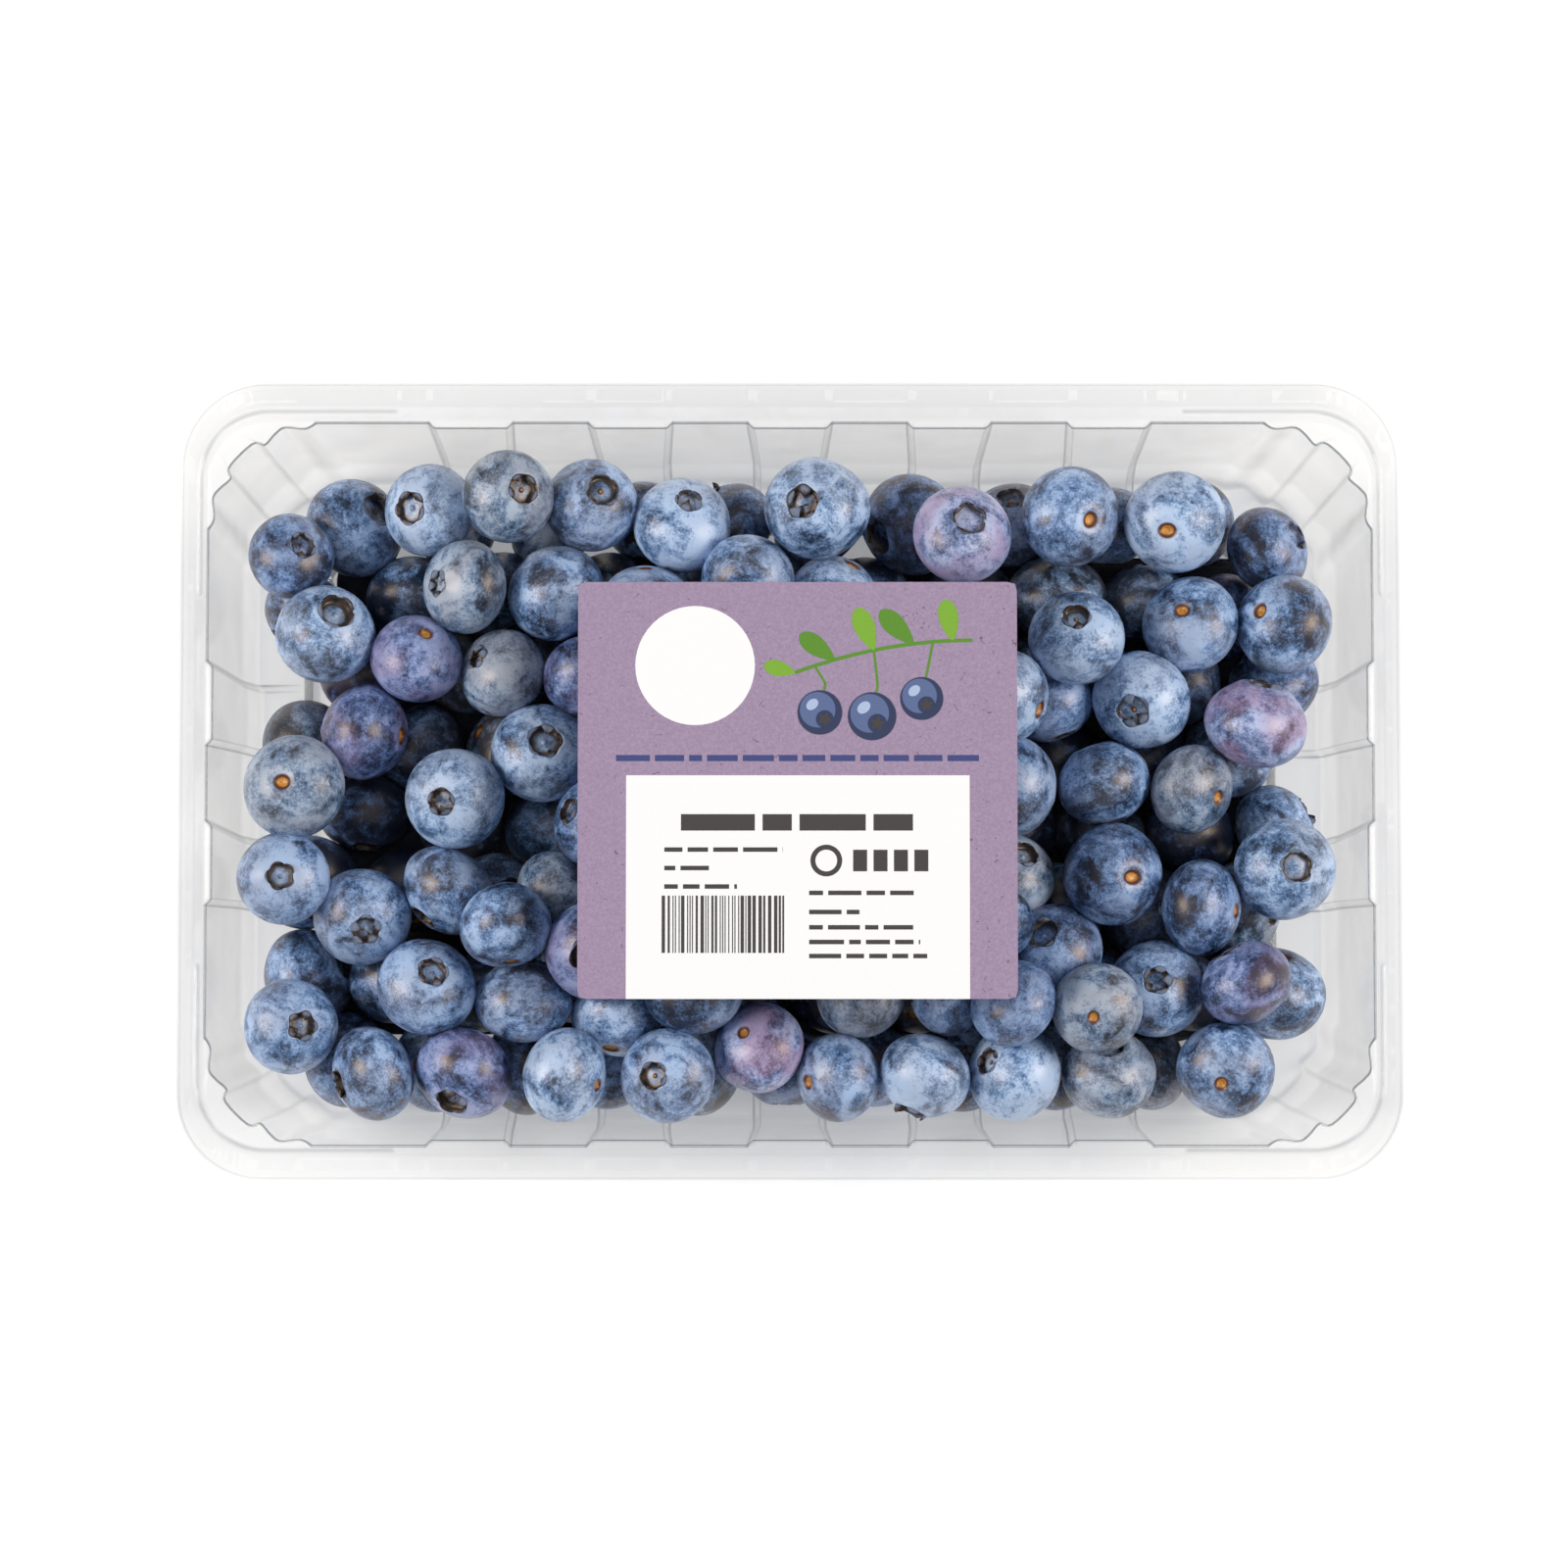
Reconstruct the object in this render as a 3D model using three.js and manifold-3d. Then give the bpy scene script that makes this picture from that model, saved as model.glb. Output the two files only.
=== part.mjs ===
// Punnet of blueberries in millimetres, +Z up.
// The origin is under the middle of the tray, on the surface that it stands on.
// X runs along the tray, Y across it.

import * as THREE from 'three';
import { mergeVertices } from 'three/addons/utils/BufferGeometryUtils.js';
import Module from 'manifold-3d';

const wasm = await Module();
wasm.setup();

// Tray, over all
const TRAY_LENGTH = 192;
const TRAY_WIDTH = 125.6;
const TRAY_HEIGHT = 45;
const SHEET = 0.5;

// Rim: a flat land for the film, rounded over into a short skirt
const RIM_RADIUS = 13.2;
const RIM_LAND_END = 2.6;
const RIM_LAND_SIDE = 4.0;
const RIM_ROUND = 1.3;
const SKIRT_DROP = 2.6;
const RIM_CORNER_STEPS = 9;
const CHAMFER_MIDDLE = 1 - Math.SQRT1_2;

// Neck: the plain band under the rim, down to the line where the flutes start
const FLUTE_LINE = 35.5;
const NECK_SLOPE = 1.4;
const NECK_RADIUS = 9.6;

// Fluted wall below the neck
const LEDGE = 0.3;
const RIB_PITCH = 25.4;
const RIB_DEPTH = 0.8;
const RIB_HALF_TOP = 5.7;
const RIB_HALF_FOOT = 4.8;
const RIB_FLANK = 1.1;
const END_RIB = RIB_PITCH / 2;
const SIDE_RIBS = [2 * RIB_PITCH, RIB_PITCH, 0];
const WALL_TAPER = 3.1;
const WALL_FOOT = 8;
const FOOT_TAPER = 1.4;
const FLOOR_EDGE = 1.2;

// Base: a standing band round a panel pressed up
const FOOT_ROUND = 1.0;
const STANDING_BAND = 7;
const PANEL_RISE = 0.8;
const PANEL_SLOPE = 1.2;

// Half sizes of the wall's box at the flute line
const WALL_HALF_X = TRAY_LENGTH / 2 - RIM_LAND_END - NECK_SLOPE - LEDGE;
const WALL_HALF_Y = TRAY_WIDTH / 2 - RIM_LAND_SIDE - NECK_SLOPE - LEDGE;

// One half of a scalloped corner, from the side to the flat across the corner:
// distance along the side and depth behind it, both from the corner of the wall's box
const SCALLOP = [[17, 0], [15.2, 0.9], [12, 0.7], [10.4, 1.8], [8.8, 3.5], [6.9, 3.3]];
const CORNER_CUT = 8.8;

// Film and label
const FILM_THICKNESS = 0.1;
const FILM_MARGIN = 1.4;
const LABEL_LENGTH = 69;
const LABEL_WIDTH = 65.6;
const LABEL_X = 1.2;
const LABEL_Y = -1.8;
const LABEL_RADIUS = 1;
const LABEL_THICKNESS = 0.15;
const PLATE_CORNER_STEPS = 6;

// Berries
const BERRY_LAYERS = [
  { z: 9, pitch: 15.4, row: 13.2, halfX: 81, halfY: 47 },
  { z: 23, pitch: 14.9, row: 13.2, halfX: 83, halfY: 48 },
];
const TOP_TRIES = 10;
const TOP_Z = 31;
const TOP_HALF_X = 74;
const TOP_HALF_Y = 40;
const SMALLEST_RADIUS = 6.6;
const RADIUS_SPREAD = 1.0;
const FLATTEST = 0.8;
const FLATNESS_SPREAD = 0.12;
const SITE_JITTER = 3.0;
const WALL_GAP = 0.5;
const HEAP_TOP = 38;
const SETTLE_STEPS = 420;
const FALL_STEPS = 300;
const FALL = 0.22;
const PUSH = 0.4;
const SEED = 808;

// Berries that stand out in the heap: place on the tray, radius and the way the crown points.
// They keep their place while the heap settles round them.
const LANDMARKS = [
  { x: -68.4, y: 9.1, radius: 7.8, crown: [-0.95, 0.1, -0.3] },
  { x: 27.7, y: 40.6, radius: 8.0, crown: [0.16, 0.31, 0.94] },
  { x: 75.0, y: 10.4, radius: 8.3, crown: [0.2, 0.95, 0.25] },
  { x: -4.9, y: -41.6, radius: 7.4, crown: [0.43, -0.39, -0.81] },
  { x: -80.2, y: 0.1, radius: 8.3, crown: [0.2, -0.04, -0.98] },
  { x: 45.2, y: 43.8, radius: 8.1, crown: [-0.42, 0.17, -0.89] },
  { x: 62.1, y: 43.1, radius: 8.3, crown: [0.24, 0.31, -0.92] },
  { x: 80.7, y: -12.9, radius: 8.2, crown: [0.19, 0, 0.98] },
  { x: -53.7, y: -1.9, radius: 8.1, crown: [-0.26, -0.14, 0.95] },
  { x: 58.6, y: -32.2, radius: 7.9, crown: [0, 0.2, 0.98] },
  { x: -74.7, y: 24.9, radius: 8.2, crown: [0.31, 0.44, 0.84] },
  { x: 4.6, y: 44.7, radius: 8.4, crown: [-0.37, 0.04, 0.93] },
  { x: -17.3, y: 42.8, radius: 8.0, crown: [0.18, 0.51, 0.84] },
  { x: -58.1, y: 45.0, radius: 7.5, crown: [-0.46, -0.04, 0.88] },
  { x: -68.7, y: -20.5, radius: 7.8, crown: [0.16, -0.39, 0.91] },
  { x: 46.0, y: 23.8, radius: 7.7, crown: [-0.06, 0.48, 0.87] },
  { x: 69.9, y: -45.1, radius: 7.9, crown: [0.2, 0.4, -0.9] },
];
const LANDMARK_Z = 25;
const LANDMARK_LOWEST = 20.5;
const LANDMARK_ROOM = 12;

// Heap solid
const BERRY_SIDES = 6;
const BERRY_BANDS = 4;
const FACET_SWELL = 1.03;
const CORE_HALF_X = 78;
const CORE_HALF_Y = 46.5;
const CORE_CELLS_X = 12;
const CORE_CELLS_Y = 7;
const CORE_FLOOR = 8;
const CORE_SINK = 0.15;
const CORE_REACH = 9.4;
const CORE_LOWEST = 14;

// Between meshes and solids that can be joined and cut
function solidFrom(geometry) {
  const bare = geometry.clone();
  bare.deleteAttribute('normal');
  bare.deleteAttribute('uv');
  const merged = mergeVertices(bare, 1e-4);
  return new wasm.Manifold(new wasm.Mesh({
    numProp: 3,
    vertProperties: new Float32Array(merged.attributes.position.array),
    triVerts: new Uint32Array(merged.index.array),
  }));
}

function geometryFrom(solid) {
  const { vertProperties, triVerts } = solid.getMesh();
  const geometry = new THREE.BufferGeometry();
  geometry.setAttribute('position', new THREE.BufferAttribute(vertProperties, 3));
  geometry.setIndex(new THREE.BufferAttribute(triVerts, 1));
  return geometry;
}

// Draws in [0, 1) that repeat from the same seed
function drawsFrom(seed) {
  let state = seed;
  return () => {
    state = (state * 16807) % 2147483647;
    return state / 2147483647;
  };
}

// How far the fluted wall has moved inward at height z, from the flute line
function wallTaper(z) {
  if (z > WALL_FOOT) {
    return WALL_TAPER * (FLUTE_LINE - z) / (FLUTE_LINE - WALL_FOOT);
  }
  return WALL_TAPER + FOOT_TAPER * (WALL_FOOT - z) / (WALL_FOOT - FLOOR_EDGE);
}

// One corner of a ring, counter-clockwise from the short side to the long side
function scallopedCorner(halfX, halfY) {
  const fromEnd = SCALLOP.map(([along, depth]) => [halfX - depth, halfY - along]);
  const fromSide = SCALLOP.map(([along, depth]) => [halfX - along, halfY - depth]);
  return [...fromEnd, ...fromSide.reverse()];
}

// The same count of points round a plain corner
function roundCorner(halfX, halfY, radius) {
  const start = [halfX, halfY - SCALLOP[0][0]];
  const end = [halfX - SCALLOP[0][0], halfY];
  const steps = 2 * SCALLOP.length - 3;
  const arc = Array.from({ length: steps + 1 }, (_, i) => {
    const turn = (Math.PI / 2) * (i / steps);
    return [halfX - radius + radius * Math.cos(turn), halfY - radius + radius * Math.sin(turn)];
  });
  return [start, ...arc, end];
}

// Stations of one rib: across a side, each with its depth behind the wall's box
function ribStations(centre, half, depth) {
  const flank = half + RIB_FLANK;
  return [[centre - flank, 0], [centre - half, depth], [centre + half, depth], [centre + flank, 0]];
}

// One closed ring of the tray, by quarters that mirror each other
function ring({ halfX, halfY, z, ribHalf = RIB_HALF_TOP, depth = 0, radius = 0 }) {
  const end = ribStations(END_RIB, ribHalf, depth).map(([along, back]) => [halfX - back, along]);
  const corner = radius > 0 ? roundCorner(halfX, halfY, radius) : scallopedCorner(halfX, halfY);
  const side = SIDE_RIBS.flatMap((centre) => ribStations(centre, ribHalf, depth).reverse())
    .filter(([along]) => along > 0)
    .map(([along, back]) => [along, halfY - back]);
  const quarter = [...end, ...corner, ...side];
  const mirrored = [...quarter].reverse();
  return [
    ...quarter,
    ...mirrored.map(([x, y]) => [-x, y]),
    ...quarter.map(([x, y]) => [-x, -y]),
    ...mirrored.map(([x, y]) => [x, -y]),
  ].map(([x, y]) => new THREE.Vector3(x, y, z));
}

// A closed solid through a stack of rings, with a fan over the first and the last
function loft(rings) {
  const count = rings[0].length;
  const points = rings.flat();
  const faces = [];
  for (let level = 0; level + 1 < rings.length; level += 1) {
    for (let i = 0; i < count; i += 1) {
      const next = (i + 1) % count;
      const [a, b] = [level * count + i, level * count + next];
      faces.push(a, b, b + count, a, b + count, a + count);
    }
  }
  const last = (rings.length - 1) * count;
  const [low, high] = [points.length, points.length + 1];
  points.push(new THREE.Vector3(0, 0, rings[0][0].z), new THREE.Vector3(0, 0, rings.at(-1)[0].z));
  for (let i = 0; i < count; i += 1) {
    const next = (i + 1) % count;
    faces.push(low, next, i, high, last + i, last + next);
  }
  const geometry = new THREE.BufferGeometry().setFromPoints(points);
  geometry.setIndex(faces);
  return geometry;
}

// The rings of one face of the tray's sheet, from the middle of the base up to the neck.
// inset is 0 for the outer face, and SHEET for the inner one, which lies that far in and up.
function wallRings(inset) {
  const at = (x, y, z, more) => ring({ halfX: x - inset, halfY: y - inset, z: z + inset, ...more });
  const wall = (z, extra = 0) => [
    WALL_HALF_X - wallTaper(z) - extra,
    WALL_HALF_Y - wallTaper(z) - extra,
  ];
  const foot = { ribHalf: RIB_HALF_FOOT, depth: RIB_DEPTH };
  const footEdge = FOOT_ROUND + STANDING_BAND;
  return [
    at(...wall(FLOOR_EDGE, footEdge + PANEL_SLOPE), PANEL_RISE, { ribHalf: RIB_HALF_FOOT }),
    at(...wall(FLOOR_EDGE, footEdge), 0, { ribHalf: RIB_HALF_FOOT }),
    at(...wall(FLOOR_EDGE, FOOT_ROUND), 0, foot),
    at(...wall(FLOOR_EDGE), FLOOR_EDGE, foot),
    at(...wall(WALL_FOOT), WALL_FOOT, foot),
    at(WALL_HALF_X, WALL_HALF_Y, FLUTE_LINE, { depth: RIB_DEPTH }),
    at(WALL_HALF_X + LEDGE, WALL_HALF_Y + LEDGE, FLUTE_LINE + LEDGE, { radius: NECK_RADIUS }),
  ];
}

// A rounded rectangle, inset from the edge of the rim
function rimRing(inset, z) {
  const [x, y] = [TRAY_LENGTH / 2 - RIM_RADIUS, TRAY_WIDTH / 2 - RIM_RADIUS];
  const middles = [[x, y], [-x, y], [-x, -y], [x, -y]];
  return middles.flatMap(([middleX, middleY], corner) => (
    Array.from({ length: RIM_CORNER_STEPS + 1 }, (_, i) => {
      const turn = (Math.PI / 2) * (corner + i / RIM_CORNER_STEPS);
      const reach = RIM_RADIUS - inset;
      return new THREE.Vector3(middleX + reach * Math.cos(turn), middleY + reach * Math.sin(turn), z);
    })
  ));
}

// The rim before the inside is cut out: under the land, down inside the skirt and up to the top
function rimRings() {
  const under = TRAY_HEIGHT - SHEET;
  return [
    rimRing(RIM_LAND_SIDE + NECK_SLOPE, under),
    rimRing(RIM_ROUND, under),
    rimRing(SHEET, under - RIM_ROUND + SHEET),
    rimRing(SHEET, TRAY_HEIGHT - SKIRT_DROP),
    rimRing(0, TRAY_HEIGHT - SKIRT_DROP),
    rimRing(0, TRAY_HEIGHT - RIM_ROUND),
    rimRing(RIM_ROUND * CHAMFER_MIDDLE, TRAY_HEIGHT - RIM_ROUND * CHAMFER_MIDDLE),
    rimRing(RIM_ROUND, TRAY_HEIGHT),
  ];
}

// The top of the neck, on one face of the sheet
function neckTop(inset, z) {
  return ring({
    halfX: TRAY_LENGTH / 2 - RIM_LAND_END - inset,
    halfY: TRAY_WIDTH / 2 - RIM_LAND_SIDE - inset,
    z,
    radius: NECK_RADIUS + NECK_SLOPE - inset,
  });
}

// The walls and the rim joined, less the space inside, which runs on past the top
function trayGeometry() {
  const walls = solidFrom(loft([...wallRings(0), neckTop(0, TRAY_HEIGHT - SHEET / 2)]));
  const inside = loft([...wallRings(SHEET), neckTop(SHEET, TRAY_HEIGHT + SHEET)]);
  return geometryFrom(walls.add(solidFrom(loft(rimRings()))).subtract(solidFrom(inside)));
}

// A flat plate with round corners
function plate(length, width, radius, thickness) {
  const shape = new THREE.Shape();
  const [x, y] = [length / 2, width / 2];
  shape.absarc(x - radius, y - radius, radius, 0, Math.PI / 2);
  shape.absarc(-x + radius, y - radius, radius, Math.PI / 2, Math.PI);
  shape.absarc(-x + radius, -y + radius, radius, Math.PI, 1.5 * Math.PI);
  shape.absarc(x - radius, -y + radius, radius, 1.5 * Math.PI, 2 * Math.PI);
  shape.closePath();
  return new THREE.ExtrudeGeometry(shape, {
    depth: thickness,
    bevelEnabled: false,
    curveSegments: PLATE_CORNER_STEPS,
  });
}

// Whether a place in the upper heap is already taken by a landmark berry
function crowdsLandmark(x, y, z) {
  return z > LANDMARK_LOWEST && LANDMARKS.some((mark) => (
    (mark.x - x) * (mark.x - x) + (mark.y - y) * (mark.y - y) < LANDMARK_ROOM * LANDMARK_ROOM
  ));
}

function drawnRadius(draw) {
  return SMALLEST_RADIUS + RADIUS_SPREAD * (draw() + draw());
}

// Staggered rows of one layer, each place shaken a little
function layerSites(draw, { z, pitch, row, halfX, halfY }) {
  const shake = () => SITE_JITTER * (draw() - 0.5);
  const rows = Math.floor((2 * halfY) / row) + 1;
  const sites = [];
  for (let j = 0; j < rows; j += 1) {
    const y = (j - (rows - 1) / 2) * row;
    for (let x = -halfX + (j % 2) * (pitch / 2); x <= halfX; x += pitch) {
      const site = { x: x + shake(), y: y + shake(), z: z + shake(), radius: drawnRadius(draw) };
      if (!crowdsLandmark(x, y, z)) {
        sites.push(site);
      }
    }
  }
  return sites;
}

// Where each berry starts: the landmarks, two staggered layers and a few thrown on top
function berrySites(draw) {
  const landmarks = LANDMARKS.map((mark) => ({ ...mark, z: LANDMARK_Z, held: true }));
  const layers = BERRY_LAYERS.flatMap((layer) => layerSites(draw, layer));
  const thrown = Array.from({ length: TOP_TRIES }, () => ({
    x: TOP_HALF_X * (2 * draw() - 1),
    y: TOP_HALF_Y * (2 * draw() - 1),
    z: TOP_Z,
    radius: drawnRadius(draw),
  }));
  return [...landmarks, ...layers, ...thrown.filter(({ x, y, z }) => !crowdsLandmark(x, y, z))];
}

// Keeps a berry inside the tray: off the floor, the four walls and the cut corners,
// and under the level that the heap was smoothed to
function keepInside(berry) {
  const reach = berry.radius + WALL_GAP;
  berry.z = Math.max(berry.z, SHEET + PANEL_RISE + reach);
  berry.z = Math.min(berry.z, HEAP_TOP - berry.radius);
  const back = SHEET + RIB_DEPTH + wallTaper(berry.z - 0.5 * berry.radius) + reach;
  const [limitX, limitY] = [WALL_HALF_X - back, WALL_HALF_Y - back];
  berry.x = Math.min(Math.max(berry.x, -limitX), limitX);
  berry.y = Math.min(Math.max(berry.y, -limitY), limitY);
  const diagonal = (limitX - Math.abs(berry.x) + limitY - Math.abs(berry.y)) * Math.SQRT1_2;
  const short = CORNER_CUT - (2 * Math.SQRT1_2 - 1) * reach - diagonal;
  if (short > 0) {
    berry.x -= Math.sign(berry.x) * short * Math.SQRT1_2;
    berry.y -= Math.sign(berry.y) * short * Math.SQRT1_2;
  }
}

// Lets the berries fall and push each other apart until the heap lies still
function settle(berries) {
  for (let step = 0; step < SETTLE_STEPS; step += 1) {
    const fall = step < FALL_STEPS ? FALL : 0;
    const moves = berries.map(() => ({ x: 0, y: 0, z: -fall }));
    berries.forEach((a, i) => {
      for (let j = i + 1; j < berries.length; j += 1) {
        const b = berries[j];
        const [dx, dy, dz] = [a.x - b.x, a.y - b.y, a.z - b.z];
        const apart = Math.sqrt(dx * dx + dy * dy + dz * dz);
        const overlap = a.contact + b.contact - apart;
        if (overlap > 0) {
          const share = PUSH * overlap / apart;
          moves[i].x += share * dx;
          moves[i].y += share * dy;
          moves[i].z += share * dz;
          moves[j].x -= share * dx;
          moves[j].y -= share * dy;
          moves[j].z -= share * dz;
        }
      }
    });
    berries.forEach((berry, i) => {
      berry.x += berry.held ? 0 : moves[i].x;
      berry.y += berry.held ? 0 : moves[i].y;
      berry.z = Math.max(berry.z + moves[i].z, berry.held ? LANDMARK_LOWEST : 0);
      keepInside(berry);
    });
  }
  return berries;
}

// A direction drawn evenly over the sphere
function drawnDirection(draw) {
  const up = 2 * draw() - 1;
  const turn = 2 * Math.PI * draw();
  const flat = Math.sqrt(1 - up * up);
  return [flat * Math.cos(turn), flat * Math.sin(turn), up];
}

// The settled heap: each berry with its place, radius, flatness and the way its crown points
function settledBerries() {
  const draw = drawsFrom(SEED);
  const berries = berrySites(draw).map((site) => {
    const flatness = FLATTEST + FLATNESS_SPREAD * draw();
    const drawn = drawnDirection(draw);
    const crown = new THREE.Vector3(...(site.crown ?? drawn)).normalize();
    return { ...site, flatness, crown, contact: site.radius * (2 + flatness) / 3 };
  });
  return settle(berries);
}

function berryGeometry(berry) {
  const geometry = new THREE.SphereGeometry(FACET_SWELL * berry.radius, BERRY_SIDES, BERRY_BANDS);
  geometry.scale(1, berry.flatness, 1);
  const turn = new THREE.Quaternion().setFromUnitVectors(new THREE.Vector3(0, 1, 0), berry.crown);
  geometry.applyQuaternion(turn);
  geometry.translate(berry.x, berry.y, berry.z);
  return geometry;
}

// Height of the core at a point: just below the middle of the highest berry near it
function coreHeight(berries, x, y) {
  const near = berries.filter((berry) => Math.hypot(berry.x - x, berry.y - y) < CORE_REACH);
  return Math.max(CORE_LOWEST, ...near.map((berry) => berry.z - CORE_SINK * berry.radius));
}

// The core that the berries grow out of: a slab whose top follows the heap
function coreGeometry(berries) {
  const geometry = new THREE.BoxGeometry(
    2 * CORE_HALF_X, 2 * CORE_HALF_Y, 1, CORE_CELLS_X, CORE_CELLS_Y, 1,
  );
  const position = geometry.attributes.position;
  for (let i = 0; i < position.count; i += 1) {
    const [x, y] = [position.getX(i), position.getY(i)];
    const top = position.getZ(i) > 0;
    position.setZ(i, top ? coreHeight(berries, x, y) : CORE_FLOOR);
  }
  return geometry;
}

// Berries and core in one body; hollows sealed between them are filled
function heapGeometry() {
  const berries = settledBerries();
  const solids = [coreGeometry(berries), ...berries.map(berryGeometry)].map(solidFrom);
  const joined = wasm.Manifold.union(solids);
  const bodies = joined.decompose();
  bodies.sort((a, b) => b.volume() - a.volume());
  return geometryFrom(bodies[0]);
}

function piece(name, geometry, material) {
  const mesh = new THREE.Mesh(geometry, new THREE.MeshStandardMaterial(material));
  mesh.name = name;
  return mesh;
}

const clear = { color: 0xe6e9ea, roughness: 0.08, metalness: 0, transparent: true, opacity: 0.3 };
const punnet = new THREE.Group();

punnet.add(piece('tray', trayGeometry(), clear));
punnet.add(piece('berries', heapGeometry(), { color: 0x3f5578, roughness: 0.6, metalness: 0 }));

const film = piece('film', plate(
  TRAY_LENGTH - 2 * FILM_MARGIN,
  TRAY_WIDTH - 2 * FILM_MARGIN,
  RIM_RADIUS - FILM_MARGIN,
  FILM_THICKNESS,
), clear);
film.position.z = TRAY_HEIGHT;
punnet.add(film);

const label = piece(
  'label',
  plate(LABEL_LENGTH, LABEL_WIDTH, LABEL_RADIUS, LABEL_THICKNESS),
  { color: 0x8f7394, roughness: 0.75, metalness: 0 },
);
label.position.set(LABEL_X, LABEL_Y, TRAY_HEIGHT + FILM_THICKNESS);
punnet.add(label);

export default punnet;
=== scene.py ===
# %% [markdown]
# # A punnet of blueberries
# A clear pressed tray holds some 170 loose blueberries under a clear film that is sealed to its rim.
# A square paper label is stuck on the film. This lesson dresses the plain solids of that pack:
# the camera and light first, then the tray, the film, the label, and last the heap of berries.
# Sizes are in millimetres and are turned into Blender's metres by MM.

# %% Load the solids that the looks are fitted to
import math

import bmesh
import bpy
import numpy as np
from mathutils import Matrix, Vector


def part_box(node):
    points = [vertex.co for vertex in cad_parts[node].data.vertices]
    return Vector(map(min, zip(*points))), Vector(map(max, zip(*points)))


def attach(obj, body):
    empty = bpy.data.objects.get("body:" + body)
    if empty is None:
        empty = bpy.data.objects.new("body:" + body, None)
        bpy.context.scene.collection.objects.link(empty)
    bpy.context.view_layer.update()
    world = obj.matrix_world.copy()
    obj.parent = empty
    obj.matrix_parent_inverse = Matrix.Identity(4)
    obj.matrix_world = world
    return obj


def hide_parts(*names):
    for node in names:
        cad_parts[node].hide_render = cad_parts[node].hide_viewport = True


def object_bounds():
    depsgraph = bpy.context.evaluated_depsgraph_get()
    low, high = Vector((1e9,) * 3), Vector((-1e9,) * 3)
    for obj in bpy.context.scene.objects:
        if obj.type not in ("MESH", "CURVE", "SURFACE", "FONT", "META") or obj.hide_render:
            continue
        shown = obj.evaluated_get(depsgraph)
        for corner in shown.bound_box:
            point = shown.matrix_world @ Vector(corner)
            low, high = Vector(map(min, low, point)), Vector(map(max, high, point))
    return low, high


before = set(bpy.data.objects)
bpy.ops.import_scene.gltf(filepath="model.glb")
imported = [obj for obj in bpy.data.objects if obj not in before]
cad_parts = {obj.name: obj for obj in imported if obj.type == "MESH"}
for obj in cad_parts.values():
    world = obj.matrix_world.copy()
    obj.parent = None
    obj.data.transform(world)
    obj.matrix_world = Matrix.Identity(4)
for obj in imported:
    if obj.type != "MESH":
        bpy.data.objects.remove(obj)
cad_low, cad_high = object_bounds()
MM = 0.001
print("solids:", sorted(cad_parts), "box in mm:", [round(v / MM, 2) for v in cad_high - cad_low])

# %% [markdown]
# ## Making materials
# Every finish here is a small tree of nodes. The helper below adds one node, sets its plain
# settings, and fills its sockets: a value goes on the socket itself, an output is linked to it.

# %% Helpers for materials and pieces
def new_material(name):
    """An empty material with its output node."""
    material = bpy.data.materials.new(name)
    material.use_nodes = True
    material.node_tree.nodes.clear()
    return material, material.node_tree


def add(tree, kind, settings=None, **sockets):
    """One node. Socket names are written with _ for a space, and i0, i1 ... for a numbered socket."""
    node = tree.nodes.new(kind)
    for key, value in (settings or {}).items():
        setattr(node, key, value)
    for key, value in sockets.items():
        numbered = key[0] == "i" and key[1:].isdigit()
        socket = node.inputs[int(key[1:])] if numbered else node.inputs[key.replace("_", " ")]
        if isinstance(value, bpy.types.NodeSocket):
            tree.links.new(value, socket)
        else:
            socket.default_value = value
    return node


def maths(tree, operation, first, second, third=None):
    """The result of one maths node. MULTIPLY_ADD multiplies the first two and adds the third."""
    sockets = {"i0": first, "i1": second}
    if third is not None:
        sockets["i2"] = third
    return add(tree, "ShaderNodeMath", {"operation": operation}, **sockets).outputs[0]


def mixed(tree, share, first, second):
    """One colour blended into another by a share."""
    node = add(tree, "ShaderNodeMix", {"data_type": "RGBA"}, i0=share, i6=first, i7=second)
    return node.outputs[2]


def ramped(tree, value, low, high, to_low=0.0, to_high=1.0):
    """A value eased from one range into another."""
    node = add(tree, "ShaderNodeMapRange", {"interpolation_type": "SMOOTHSTEP"}, Value=value)
    for key, number in (("From Min", low), ("From Max", high), ("To Min", to_low), ("To Max", to_high)):
        node.inputs[key].default_value = number
    return node.outputs[0]


def noise(tree, vector, scale, detail=4.0, roughness=0.6, distortion=0.0):
    """A cloudy pattern between 0 and 1."""
    node = add(tree, "ShaderNodeTexNoise", Vector=vector, Scale=scale, Detail=detail,
               Roughness=roughness, Distortion=distortion)
    return node.outputs[0]


def read(tree, name):
    """An attribute that was written on the mesh."""
    return add(tree, "ShaderNodeAttribute", {"attribute_name": name})


def output(tree, shader):
    add(tree, "ShaderNodeOutputMaterial", Surface=shader)


def piece_from(name, mesh, material, replaces=()):
    """An object of the pack, which rides on its one body."""
    thing = bpy.data.objects.new(name, mesh)
    bpy.context.scene.collection.objects.link(thing)
    if material:
        mesh.materials.append(material)
    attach(thing, "root")
    if replaces:
        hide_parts(*replaces)
    return thing


def mesh_from(bm, name, smooth=True, sharp_angle=None):
    """Ends a bmesh as a mesh, smooth but for the creases over an angle."""
    for face in bm.faces:
        face.smooth = smooth
    if sharp_angle is not None:
        for edge in bm.edges:
            edge.smooth = not (len(edge.link_faces) == 2 and edge.calc_face_angle() > sharp_angle)
    mesh = bpy.data.meshes.new(name)
    bm.to_mesh(mesh)
    bm.free()
    return mesh


def share_of(value, low, high):
    """How far a value is from low to high, eased at both ends."""
    t = min(max((value - low) / (high - low), 0.0), 1.0)
    return t * t * (3 - 2 * t)


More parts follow.
